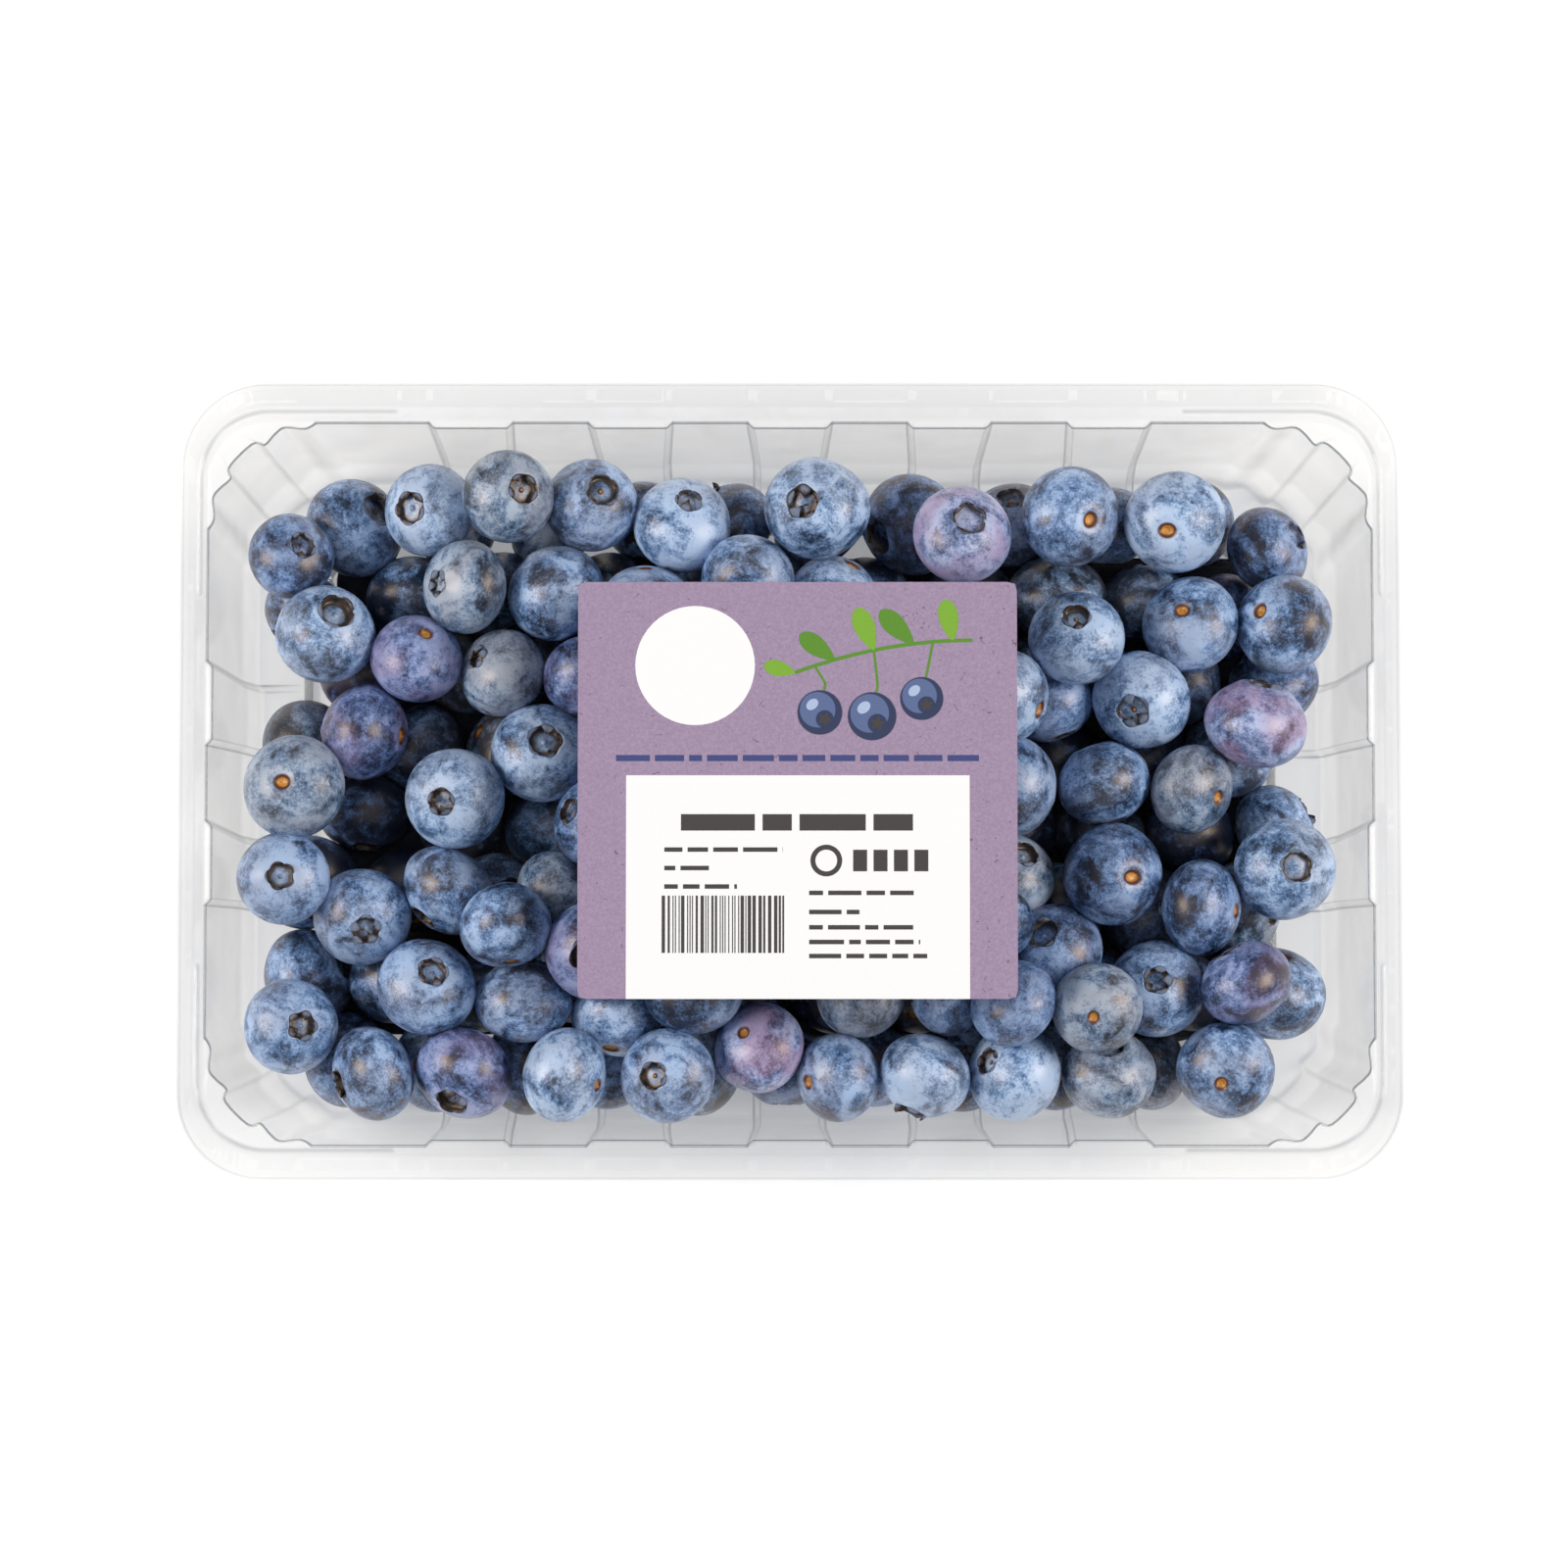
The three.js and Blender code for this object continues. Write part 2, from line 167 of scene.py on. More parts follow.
# %% [markdown]
# ## Camera
# The pack is seen from straight above, and the camera leans back by only four degrees, so that a
# little more of the far wall shows than of the near one. A long lens from about a metre keeps the
# berries round at the edges of the picture. The camera is aimed at a point of the rim's level.

# %% Place the camera
TRAY_LOW, TRAY_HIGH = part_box("tray")
TRAY_LENGTH, TRAY_WIDTH, TRAY_HEIGHT = ((TRAY_HIGH - TRAY_LOW) / MM)[:]
SENSOR_WIDTH = 36.0
VIEW_WIDTH = 246.0
AIM = Vector((-0.93, -0.88, TRAY_HEIGHT))
EYE = AIM + Vector((0, -66, 903))

camera_data = bpy.data.cameras.new("camera")
camera_data.sensor_width = SENSOR_WIDTH
camera_data.lens = SENSOR_WIDTH * (EYE - AIM).length / VIEW_WIDTH
camera_data.clip_start = 0.01
camera = bpy.data.objects.new("camera", camera_data)
bpy.context.scene.collection.objects.link(camera)
bpy.context.scene.camera = camera
camera.location = EYE * MM
camera.rotation_euler = (AIM - EYE).to_track_quat("-Z", "Y").to_euler()
print("lens in mm:", round(camera_data.lens, 1))

# %% [markdown]
# ## Light and floor
# Two soft boxes stand left and right of the pack, a little above it. Each berry then carries two
# soft highlights side by side, about half way out from its middle. The room is pale overhead and
# darker towards the horizon, so the berries darken towards their edges and the gaps stay deep.

# %% Set the two soft boxes and the room
BOX_DISTANCE = 800
BOX_ELEVATION = math.radians(38)
BOX_BACK = 0.05
BOX_SIZE = 300
BOX_POWER = 4.1
BOX_COLOUR = (1.0, 0.94, 0.87)
ROOM_LOW = 0.05
ROOM_RISE = 0.45
ROOM_COLOUR = (0.94, 0.995, 1.05, 1)


def soft_box(name, side):
    """A square lamp beside the pack: side is -1 for the left and 1 for the right."""
    lamp = bpy.data.lights.new(name, "AREA")
    lamp.size = BOX_SIZE * MM
    lamp.energy = BOX_POWER
    lamp.color = BOX_COLOUR
    box = bpy.data.objects.new(name, lamp)
    bpy.context.scene.collection.objects.link(box)
    place = Vector((side * math.cos(BOX_ELEVATION), BOX_BACK, math.sin(BOX_ELEVATION))) * BOX_DISTANCE
    box.location = place * MM
    box.rotation_euler = (-place).to_track_quat("-Z", "Y").to_euler()


soft_box("soft_box_left", -1)
soft_box("soft_box_right", 1)

room = bpy.data.worlds.new("room")
room.use_nodes = True
tree = room.node_tree
tree.nodes.clear()
direction = add(tree, "ShaderNodeTexCoord").outputs["Generated"]
height = add(tree, "ShaderNodeSeparateXYZ", Vector=direction).outputs[2]
above = maths(tree, "MAXIMUM", height, 0.0)
glow = maths(tree, "MULTIPLY_ADD", above, ROOM_RISE, ROOM_LOW)
background = add(tree, "ShaderNodeBackground", Color=ROOM_COLOUR, Strength=glow)
add(tree, "ShaderNodeOutputWorld", Surface=background.outputs[0])
bpy.context.scene.world = room
bpy.context.scene.view_settings.view_transform = "Standard"
bpy.context.scene.cycles.transparent_max_bounces = 24

# %% [markdown]
# The floor is one large square with a plain matt finish. It glows a little, as a light table
# does, so that the pack throws hardly any shadow. It belongs to the stage.

# %% Make the floor
FLOOR_SIZE = 6000
FLOOR_COLOUR = (0.9, 0.9, 0.9, 1)
FLOOR_GLOW = 0.30
FLOOR_DROP = 0.05
floor_material, tree = new_material("pale_floor")
floor_paint = add(tree, "ShaderNodeBsdfDiffuse", Color=FLOOR_COLOUR)
floor_glow = add(tree, "ShaderNodeEmission", Color=(1, 1, 1, 1), Strength=FLOOR_GLOW)
floor_shader = add(tree, "ShaderNodeAddShader", i0=floor_paint.outputs[0], i1=floor_glow.outputs[0])
output(tree, floor_shader.outputs[0])
bm = bmesh.new()
bmesh.ops.create_grid(bm, x_segments=1, y_segments=1, size=FLOOR_SIZE / 2 * MM)
floor = bpy.data.objects.new("floor", mesh_from(bm, "floor", smooth=False))
floor.data.materials.append(floor_material)
floor.location.z = cad_low.z - FLOOR_DROP * MM
bpy.context.scene.collection.objects.link(floor)

# %% [markdown]
# ## The tray
# The real tray is one sheet of clear plastic, warmed and sucked down into a mould. So it is drawn
# as one surface that is pressed down ring by ring: over the rim, down the neck, over the narrow
# ledge to the fluted wall, round the foot and across the base. A Solidify modifier then gives it
# the thickness of the sheet. Each ring is extruded from the one before it, and its points are moved
# to the outline of that level. All the rings share the same stations, so ribs run straight down.

# %% Sizes of the tray
SHEET = 0.35
RIM_RADIUS = 13.2
LAND_END = 2.6
LAND_SIDE = 4.0
RIM_ROUND = 1.3
SKIRT_DROP = 2.6
NECK_SLOPE = 1.4
NECK_RADIUS = 9.6
FLUTE_LINE = 35.5
LEDGE = 0.3
RIB_PITCH = 25.4
RIB_DEPTH = 0.8
RIB_HALF_TOP = 5.7
RIB_HALF_FOOT = 4.8
RIB_FLANK = 1.1
WALL_TAPER = 3.1
WALL_FOOT = 8
FOOT_TAPER = 1.4
FLOOR_EDGE = 1.2
FOOT_ROUND = 1.0
STANDING_BAND = 7
PANEL_RISE = 0.8
PANEL_SLOPE = 1.2
FIELD_INSET = 2
FIELD_RADIUS = 16
WALL_HALF_X = TRAY_LENGTH / 2 - LAND_END - NECK_SLOPE - LEDGE
WALL_HALF_Y = TRAY_WIDTH / 2 - LAND_SIDE - NECK_SLOPE - LEDGE
FLUTE_OUT_X = 0.65
FLUTE_OUT_Y = 0.2
FLUTE_HALF_X = WALL_HALF_X + FLUTE_OUT_X
FLUTE_HALF_Y = WALL_HALF_Y + FLUTE_OUT_Y

# One half of a scalloped corner: distance along the side and depth behind it, from the corner
SCALLOP = [(17, 0), (15.2, 0.9), (12, 0.7), (10.4, 1.8), (8.8, 3.5), (6.9, 3.3)]
SCALLOP_STEPS = 4

# The stacking shoulders: a step in the neck round each corner
SHOULDER_X = 62
SHOULDER_Y = 29
SHOULDER_EASE = 0.8
SHOULDER_DEPTH = 0.8


def wall_taper(z):
    """How far the fluted wall has moved inward at height z, from the flute line."""
    upper = WALL_TAPER * (FLUTE_LINE - z) / (FLUTE_LINE - WALL_FOOT)
    lower = WALL_TAPER + FOOT_TAPER * (WALL_FOOT - z) / (WALL_FOOT - FLOOR_EDGE)
    return np.where(z > WALL_FOOT, upper, lower)


print("wall at the flute line, half sizes:", WALL_HALF_X, WALL_HALF_Y)


# %% Outline of the tray at one level
def smooth_line(points, steps):
    """A curve through the points, with more points between them."""
    padded = [points[0], *points, points[-1]]
    curve = []
    for a, b, c, d in zip(padded, padded[1:], padded[2:], padded[3:]):
        for i in range(steps):
            t = i / steps
            curve.append(tuple(
                0.5 * (2 * q + (r - p) * t + (2 * p - 5 * q + 4 * r - s) * t * t
                       + (3 * q - p - 3 * r + s) * t ** 3)
                for p, q, r, s in zip(a, b, c, d)
            ))
    return [*curve, points[-1]]


SCALLOP_HALF = [*SCALLOP, *[(depth, along) for along, depth in reversed(SCALLOP)]]
SCALLOP_CURVE = smooth_line(SCALLOP_HALF, SCALLOP_STEPS)

# Stations across a rib's flank: share of the flank, and how sharply the sheet bends there
FLANK_STEPS = ((-0.2, 0), (0, 1), (0.2, 0.2), (0.5, 0), (0.8, 0.1), (1, 0.5), (1.2, 0))


def rib(centre, half, depth):
    """Stations across one rib: place along the side, depth, and 1 where the sheet bends."""
    rising = [(centre - half - RIB_FLANK * (1 - t), depth * share_of(t, 0, 1), bend)
              for t, bend in FLANK_STEPS]
    return rising + [(2 * centre - along, back, bend) for along, back, bend in reversed(rising)]


def shoulder_weight(x, y, half_x, half_y):
    """How much a point of the neck belongs to a corner's stacking shoulder, from 0 to 1."""
    past_x = share_of(x, SHOULDER_X - SHOULDER_EASE, SHOULDER_X + SHOULDER_EASE)
    past_y = share_of(y, SHOULDER_Y - SHOULDER_EASE, SHOULDER_Y + SHOULDER_EASE)
    return max(past_x * share_of(y, half_y - NECK_RADIUS, half_y),
               past_y * share_of(x, half_x - NECK_RADIUS, half_x))


def quarter_outline(half_x, half_y, rib_half=RIB_HALF_TOP, depth=0.0, radius=None, shoulder=0.0):
    """A quarter of one ring, from the middle of the short side round to the middle of the long one.
    Each point has x, y and a mark that is 1 on a rib's bend."""
    reach = SCALLOP[0][0]
    shoulder_x, shoulder_y = (min(place, half - reach - 2 * SHOULDER_EASE)
                              for place, half in ((SHOULDER_X, half_x), (SHOULDER_Y, half_y)))
    end = [(half_x - back, along, bend) for along, back, bend in rib(RIB_PITCH / 2, rib_half, depth)]
    end += [(half_x, shoulder_y + ease * SHOULDER_EASE, 0) for ease in (-1, -0.5, 0, 0.5, 1)]
    if radius is None:
        corner = [(half_x - deep, half_y - along, 0) for along, deep in SCALLOP_CURVE]
    else:
        steps = len(SCALLOP_CURVE) - 3
        turns = [math.pi / 2 * i / steps for i in range(steps + 1)]
        arc = [(half_x - radius * (1 - math.cos(a)), half_y - radius * (1 - math.sin(a)), 0)
               for a in turns]
        corner = [(half_x, half_y - reach, 0), *arc, (half_x - reach, half_y, 0)]
    side = [(shoulder_x + ease * SHOULDER_EASE, half_y, 0) for ease in (1, 0.5, 0, -0.5, -1)]
    for centre in (2 * RIB_PITCH, RIB_PITCH, 0):
        across = reversed(rib(centre, rib_half, depth))
        side += [(along, half_y - back, bend) for along, back, bend in across if along > 0]
    points = []
    for x, y, bend in [*end, *corner, *side]:
        weight = shoulder_weight(x, y, half_x, half_y) if shoulder else 0
        slide = shoulder * weight
        points.append((x * (1 - slide / half_x), y * (1 - slide / half_y), max(bend, weight)))
    return points


def ring_outline(**level):
    """The whole ring: the quarter and its three mirror images."""
    quarter = quarter_outline(**level)
    back = quarter[::-1]
    return [*quarter, *[(-x, y, m) for x, y, m in back], *[(-x, -y, m) for x, y, m in quarter],
            *[(x, -y, m) for x, y, m in back]]


print("stations in a ring:", len(ring_outline(half_x=WALL_HALF_X, half_y=WALL_HALF_Y)))

# %% [markdown]
# Pressed edges look darker than the flat sheet, because they bend the light away. So each level
# and each bend also has a mark between 0 and 1, kept in the attribute "bend". The plastic's
# finish reads it and darkens there: painted shade, which draws the thin lines that a clear tray
# shows. A low mark all over the rim and the neck paints their faint grey as shade too.
#
# A second mark, "slant", says which part of the tray a level is: -1 on the flat rim, 0 on the
# neck and 1 on the slanting wall. The finish shines less at the first, and at the last it greys
# more towards grazing views, as painted shade.


# %% Levels of the tray, from the skirt's edge to the base
# The marks below are painted shade: a faint grey over the skirt, the rim and the neck, and darker lines at
# the flute line, the shoulders, the foot, the panel and the ribs.
BEND_ON_RIBS = 0.38
EDGE = 0.22
RIM_SHADE = 0.165
SKIRT_SHADE = 0.06
NECK_SHADE = 0.075
SHOULDER_LINE = 0.36
FOOT_LINE = 0.14
PANEL_LINE = 0.6


def rim_level(inset, z, bend=0.0):
    """A ring of the flat rim or of its skirt, which is inset from the tray's outer edge."""
    outline = dict(half_x=TRAY_LENGTH / 2 - inset, half_y=TRAY_WIDTH / 2 - inset, radius=RIM_RADIUS - inset)
    return outline, z, bend, 0.0, -1.0


def neck_level(share, z, bend=0.0, shoulder=0.0, lined=0.0):
    """A ring of the neck: share is 0 at its top and 1 at its foot, lined marks its shoulders."""
    top_x, top_y = TRAY_LENGTH / 2 - LAND_END, TRAY_WIDTH / 2 - LAND_SIDE
    outline = dict(half_x=top_x + share * (FLUTE_HALF_X + LEDGE - top_x),
                   half_y=top_y + share * (FLUTE_HALF_Y + LEDGE - top_y),
                   radius=NECK_RADIUS + NECK_SLOPE * (1 - share), shoulder=shoulder)
    return outline, z, bend, lined, 0.0


def wall_level(z, extra=0.0, bend=0.0, rib_half=RIB_HALF_FOOT, depth=RIB_DEPTH, rise=0.0, radius=None):
    """A ring of the fluted wall or of the base, which is extra further in."""
    inset = float(wall_taper(z)) + extra
    outline = dict(half_x=FLUTE_HALF_X - inset, half_y=FLUTE_HALF_Y - inset, rib_half=rib_half, depth=depth,
                   radius=radius)
    return outline, z + SHEET + rise, bend, BEND_ON_RIBS if depth else 0.0, 1.0


def rounding(steps):
    """Turns of an even quarter circle, without its start."""
    return [math.pi / 2 * i / steps for i in range(1, steps + 1)]


# The skirt, and the rim's rounded edge
levels = [rim_level(0, z, SKIRT_SHADE)
          for z in (TRAY_HEIGHT - SKIRT_DROP, TRAY_HEIGHT - SKIRT_DROP + EDGE, TRAY_HEIGHT - RIM_ROUND)]
levels += [rim_level(RIM_ROUND * (1 - math.cos(a)), TRAY_HEIGHT - RIM_ROUND * (1 - math.sin(a)), RIM_SHADE)
           for a in rounding(4)]

# The land and the top of the neck: share of the neck, depth below the rim, mark
for share, below, bend in ((-0.5, 0, RIM_SHADE), (-0.2, 0.06, RIM_SHADE), (0, 0.4, 0.24),
                           (0.04, 0.6, NECK_SHADE), (0.12, 1.3, NECK_SHADE)):
    levels.append(neck_level(share, TRAY_HEIGHT - below, bend))

# The shoulders, and the foot of the neck
NECK_FOOT = FLUTE_LINE + LEDGE + SHEET
levels += [neck_level(0.14, TRAY_HEIGHT - 1.6, NECK_SHADE, SHOULDER_DEPTH * 0.8, SHOULDER_LINE),
           neck_level(0.18, TRAY_HEIGHT - 1.9, NECK_SHADE, SHOULDER_DEPTH),
           neck_level(0.94, NECK_FOOT + 0.5, NECK_SHADE, SHOULDER_DEPTH * 0.15),
           neck_level(0.98, NECK_FOOT + 0.12, NECK_SHADE),
           neck_level(1.06, NECK_FOOT, NECK_SHADE)]

# The flute line, drawn dark: depth below it, how far in, mark
for below, inward, bend in ((0, -0.2, NECK_SHADE), (0.02, -0.14, 1), (0.12, 0, 1),
                            (0.3, 0, 0.5), (0.45, 0, 0)):
    levels.append(wall_level(FLUTE_LINE - below, inward, bend, RIB_HALF_TOP))

# The wall, its foot and the round under it
levels += [wall_level(z) for z in (WALL_FOOT + 1, WALL_FOOT, WALL_FOOT - 1, FLOOR_EDGE + 0.6)]
levels.append(wall_level(FLOOR_EDGE, 0, 0.05))
levels += [wall_level(FLOOR_EDGE, FOOT_ROUND * (1 - math.cos(a)), FOOT_LINE * math.sin(2 * a),
                      rise=-FLOOR_EDGE * math.sin(a)) for a in rounding(4)]

# The band that the tray stands on, and the raised panel: how far in, mark, rise
BAND_END = FOOT_ROUND + STANDING_BAND
for inward, bend, rise in ((BAND_END - EDGE, 0, 0), (BAND_END, PANEL_LINE, 0),
                           (BAND_END + PANEL_SLOPE, PANEL_LINE, PANEL_RISE),
                           (BAND_END + PANEL_SLOPE + EDGE, 0, PANEL_RISE)):
    levels.append(wall_level(FLOOR_EDGE, inward, bend, depth=0, rise=rise - FLOOR_EDGE))

# A last flat ring with round corners, so that the field inside it has no hollow corner
levels.append(wall_level(FLOOR_EDGE, BAND_END + PANEL_SLOPE + FIELD_INSET, depth=0,
                         rise=PANEL_RISE - FLOOR_EDGE, radius=FIELD_RADIUS))
print("levels:", len(levels))

# %% [markdown]
# The near long side is seen at a steeper slant and the rim's two ends catch the soft boxes, so
# both are painted lighter than the far side, with less painted shade; on the ends this stands for
# the soft boxes' highlight. Only the edge of the skirt stays marked there, darker on the near side.

# %% Press the sheet, ring by ring
NEAR_SIDE = (45, 55)
NEAR_SIDE_LIGHTENING = 0.7
RIM_END = (80, 90)
END_LIGHTENING = 0.5
NEAR_EDGE_SHADE = 0.12
bm = bmesh.new()
station = bm.verts.layers.int.new("station")
bend_mark = bm.verts.layers.float.new("bend")
slant_mark = bm.verts.layers.float.new("slant")


def move_to_level(verts, level):
    """Puts a ring's points on the outline of their level, with their marks."""
    outline, z, bend, marked, slant = level
    points = ring_outline(**outline)
    for vert in verts:
        x, y, mark = points[vert[station]]
        vert.co = Vector((x, y, z)) * MM
        near, end = share_of(-y, *NEAR_SIDE), share_of(abs(x), *RIM_END)
        # Painted shade of the sheet: more on the near skirt's edge, less on the near side and at the ends.
        if bend == SKIRT_SHADE:
            sheet_shade = bend + NEAR_EDGE_SHADE * near
        else:
            sheet_shade = bend - max(NEAR_SIDE_LIGHTENING * near, END_LIGHTENING * end) * min(bend, RIM_SHADE)
        vert[bend_mark] = max(sheet_shade, marked * mark)
        # On the near side the slant is lowered too, so the sheet shines less and greys less there.
        vert[slant_mark] = max(slant - NEAR_SIDE_LIGHTENING * near, -1)


first = ring_outline(**levels[0][0])
ring = [bm.verts.new((0, 0, 0)) for _ in first]
for i, vert in enumerate(ring):
    vert[station] = i
edges = [bm.edges.new((a, b)) for a, b in zip(ring, ring[1:] + ring[:1])]
move_to_level(ring, levels[0])
for level in levels[1:]:
    pulled = bmesh.ops.extrude_edge_only(bm, edges=edges)["geom"]
    move_to_level([g for g in pulled if isinstance(g, bmesh.types.BMVert)], level)
    edges = [g for g in pulled if isinstance(g, bmesh.types.BMEdge)]
panel = bmesh.ops.contextual_create(bm, geom=edges)["faces"][0]
print("faces of the pressed sheet:", len(bm.faces))

# %% [markdown]
# Shallow ribs stiffen the base. They are cut out of the base's panel with planes, and each is
# inset and lifted a little, so that the fruit stands off the floor of the tray.

# %% Ribs across the base
BASE_RIBS = [RIB_PITCH * i for i in (-2, -1, 0, 1, 2)]
BASE_RIB_HALF = 1.6
BASE_RIB_REACH = 34
BASE_RIB_RISE = 0.7
BASE_RIB_SLOPE = 0.9
BASE_RIB_LINE = 0.5


def cut_panel(faces, point, normal):
    """Cuts the faces by a plane, and returns all the faces that they now are."""
    edges = [edge for face in faces for edge in face.edges]
    verts = [vert for face in faces for vert in face.verts]
    around = dict.fromkeys([*faces, *edges, *verts])
    cut = bmesh.ops.bisect_plane(bm, geom=list(around), plane_co=Vector(point) * MM, plane_no=normal)
    return [g for g in cut["geom"] if isinstance(g, bmesh.types.BMFace)]


panel_faces = [panel]
for x in BASE_RIBS:
    for side in (-1, 1):
        panel_faces = cut_panel(panel_faces, (x + side * BASE_RIB_HALF, 0, 0), (1, 0, 0))
strips = [f for f in panel_faces
          if any(abs(f.calc_center_median().x / MM - x) < BASE_RIB_HALF / 2 for x in BASE_RIBS)]
for side in (-1, 1):
    strips = cut_panel(strips, (0, side * BASE_RIB_REACH, 0), (0, 1, 0))
ribs = [f for f in strips if abs(f.calc_center_median().y / MM) < BASE_RIB_REACH / 2]
bmesh.ops.inset_individual(bm, faces=ribs, thickness=BASE_RIB_SLOPE * MM, depth=0)
rib_tops = {v for f in ribs for v in f.verts}
bmesh.ops.translate(bm, vec=(0, 0, BASE_RIB_RISE * MM), verts=list(rib_tops))
# The rib tops are marked for a painted shade line.
for vert in rib_tops:
    vert[bend_mark] = BASE_RIB_LINE

# Faces with many corners are filled from their middle, which leaves no slivers
bmesh.ops.poke(bm, faces=[f for f in bm.faces if len(f.verts) > 4], center_mode="BOUNDS")
bm.normal_update()
if max(bm.faces, key=lambda f: f.calc_area()).normal.z < 0:
    bmesh.ops.reverse_faces(bm, faces=bm.faces)
print("ribs in the base:", len(ribs))

# %% [markdown]
# Clear plastic is neither seen through wholly nor a mirror. The finish mixes a see-through shader,
# faintly grey, with a gloss that grows towards grazing angles. A glass shader would bend the view,
# but the sheet is so thin that the bend can't be seen, and this way the light reaches the fruit.
# The attribute "bend" picks the tint with its painted shade, "slant" the rim's gloss and the wall's painted
# grey.
# The film uses the same finish without these marks, so it reads 0 for both.


# %% Finish of clear plastic
RIPPLE_SCALE = 60
GRAZING_POWER = 4.0
RIM_GLOSS = 0.12
WALL_PAINTED_SHADE = 0.33


def clear_plastic(name, tint, shade_line_tint, least_gloss, grazing_gloss, roughness, ripple):
    """See-through sheet: tint of a flat face, the darker tint painted as shade at its bends and on its rim,
    and how much it shines.
    """
    material, tree = new_material(name)
    place = add(tree, "ShaderNodeTexCoord").outputs["Object"]
    ripples = noise(tree, place, RIPPLE_SCALE, 2, 0.5)
    bump = add(tree, "ShaderNodeBump", Strength=ripple, Distance=0.002, Height=ripples).outputs[0]
    facing = add(tree, "ShaderNodeLayerWeight", Blend=0.5, Normal=bump).outputs["Facing"]
    grazing = maths(tree, "POWER", facing, GRAZING_POWER)
    slant = read(tree, "slant").outputs["Fac"]
    share = maths(tree, "MULTIPLY_ADD", grazing, grazing_gloss, least_gloss)
    share = maths(tree, "MULTIPLY", share, ramped(tree, slant, -1, 0, RIM_GLOSS, 1))
    # Painted shade: the bend mark darkens the tint towards the line tint.
    colour = mixed(tree, read(tree, "bend").outputs["Fac"], tint, shade_line_tint)
    # Painted shade: the wall greys towards grazing views.
    grazing_shade = maths(tree, "MULTIPLY", grazing, ramped(tree, slant, 0, 1, 0, WALL_PAINTED_SHADE))
    colour = mixed(tree, grazing_shade, colour, (0, 0, 0, 1))
    through = add(tree, "ShaderNodeBsdfTransparent", Color=colour)
    gloss = add(tree, "ShaderNodeBsdfGlossy", Color=(0.9, 0.9, 0.91, 1), Roughness=roughness, Normal=bump)
    both = add(tree, "ShaderNodeMixShader", i0=share, i1=through.outputs[0], i2=gloss.outputs[0])
    output(tree, both.outputs[0])
    return material


tray_plastic = clear_plastic("tray_plastic", (0.958, 0.960, 0.962, 1), (0.33, 0.35, 0.38, 1),
                             0.012, 0.16, 0.07, 0.2)
tray = piece_from("tray_shell", mesh_from(bm, "tray_shell", sharp_angle=math.radians(50)),
                  tray_plastic, ["tray"])
sheet = tray.modifiers.new("sheet", "SOLIDIFY")
sheet.thickness = SHEET * MM
sheet.offset = -1
sheet.use_even_offset = False
print("tray faces:", len(tray.data.polygons))

# %% [markdown]
# ## The film
# A thin lidding film is sealed to the rim's flat land all round, and is drawn tight. It hardly
# shows from above, and glints from the side. It is a fine grid with round corners and a faint sag.

# %% Make the film
FILM_LOW, FILM_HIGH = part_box("film")
FILM_SAG = 0.35
FILM_SHEET = 0.05
FILM_CORNER = RIM_RADIUS - (TRAY_HIGH.x - FILM_HIGH.x) / MM
FILM_CELLS = (112, 76)
SAG_REACH = 22


def rounded_plate(half_x, half_y, radius, cells, height):
    """A flat grid whose outer cells are pulled in round the corners."""
    bm = bmesh.new()
    bmesh.ops.create_grid(bm, x_segments=cells[0], y_segments=cells[1], size=1)
    for vert in bm.verts:
        x, y = vert.co.x * half_x, vert.co.y * half_y
        over_x, over_y = abs(x) - (half_x - radius), abs(y) - (half_y - radius)
        if over_x > 0 and over_y > 0:
            shrink = max(over_x, over_y) / math.hypot(over_x, over_y)
            x = math.copysign(half_x - radius + over_x * shrink, x)
            y = math.copysign(half_y - radius + over_y * shrink, y)
        vert.co = (x, y, height)
    return bm


film_half = (FILM_HIGH - FILM_LOW) / 2 / MM
bm = rounded_plate(film_half.x, film_half.y, FILM_CORNER, FILM_CELLS, 0)
for vert in bm.verts:
    from_rim = min(film_half.x - LAND_END - abs(vert.co.x), film_half.y - LAND_SIDE - abs(vert.co.y))
    sag = FILM_SAG * share_of(from_rim, 0, SAG_REACH)
    vert.co.z = FILM_LOW.z / MM - sag
    vert.co *= MM
bm.normal_update()
film_plastic = clear_plastic("film_plastic", (0.993, 0.993, 0.993, 1), (0.993, 0.993, 0.993, 1),
                             0.0008, 0.55, 0.05, 0.12)
film = piece_from("film_sheet", mesh_from(bm, "film_sheet"), film_plastic, ["film"])
film_thickness = film.modifiers.new("film", "SOLIDIFY")
film_thickness.thickness = FILM_SHEET * MM
film_thickness.offset = 1
print("film faces:", len(film.data.polygons))

# %% [markdown]
# ## The label
# The label is a square of matt coated paper, printed mauve with a fleck like recycled stock. A white
# panel takes up its lower part, with a row of bold bars, rows of short dark strokes, a block of
# stripes, and a ring beside four blocks. A plain white disc and a small sprig of fruit and leaves
# fill the upper part. The printed fields are very thin plates on the paper, so their edges are crisp.

# %% Sizes and inks of the label
LABEL_LOW, LABEL_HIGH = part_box("label")
LABEL_LENGTH, LABEL_WIDTH = ((LABEL_HIGH - LABEL_LOW) / MM)[:2]
LABEL_CORNER = 1.0
LABEL_CELLS = (46, 44)
INK = 0.012
LABEL_DROP = FILM_SAG


def ink(name, colour, roughness=0.6, grain=0.05):
    """Flat printing ink that lets a little of the paper's grain through."""
    material, tree = new_material(name)
    place = add(tree, "ShaderNodeTexCoord").outputs["Object"]
    cloud = ramped(tree, noise(tree, place, 2600, 3), 0.35, 0.65)
    paler = tuple(c * (1 - grain) for c in colour[:3]) + (1,)
    shader = add(tree, "ShaderNodeBsdfPrincipled", Base_Color=mixed(tree, cloud, colour, paler),
                 Roughness=roughness)
    output(tree, shader.outputs[0])
    return material


MAUVE = (0.308, 0.222, 0.350, 1)
MAUVE_DARK = (0.16, 0.10, 0.17, 1)
MAUVE_PALE = (0.41, 0.322, 0.46, 1)


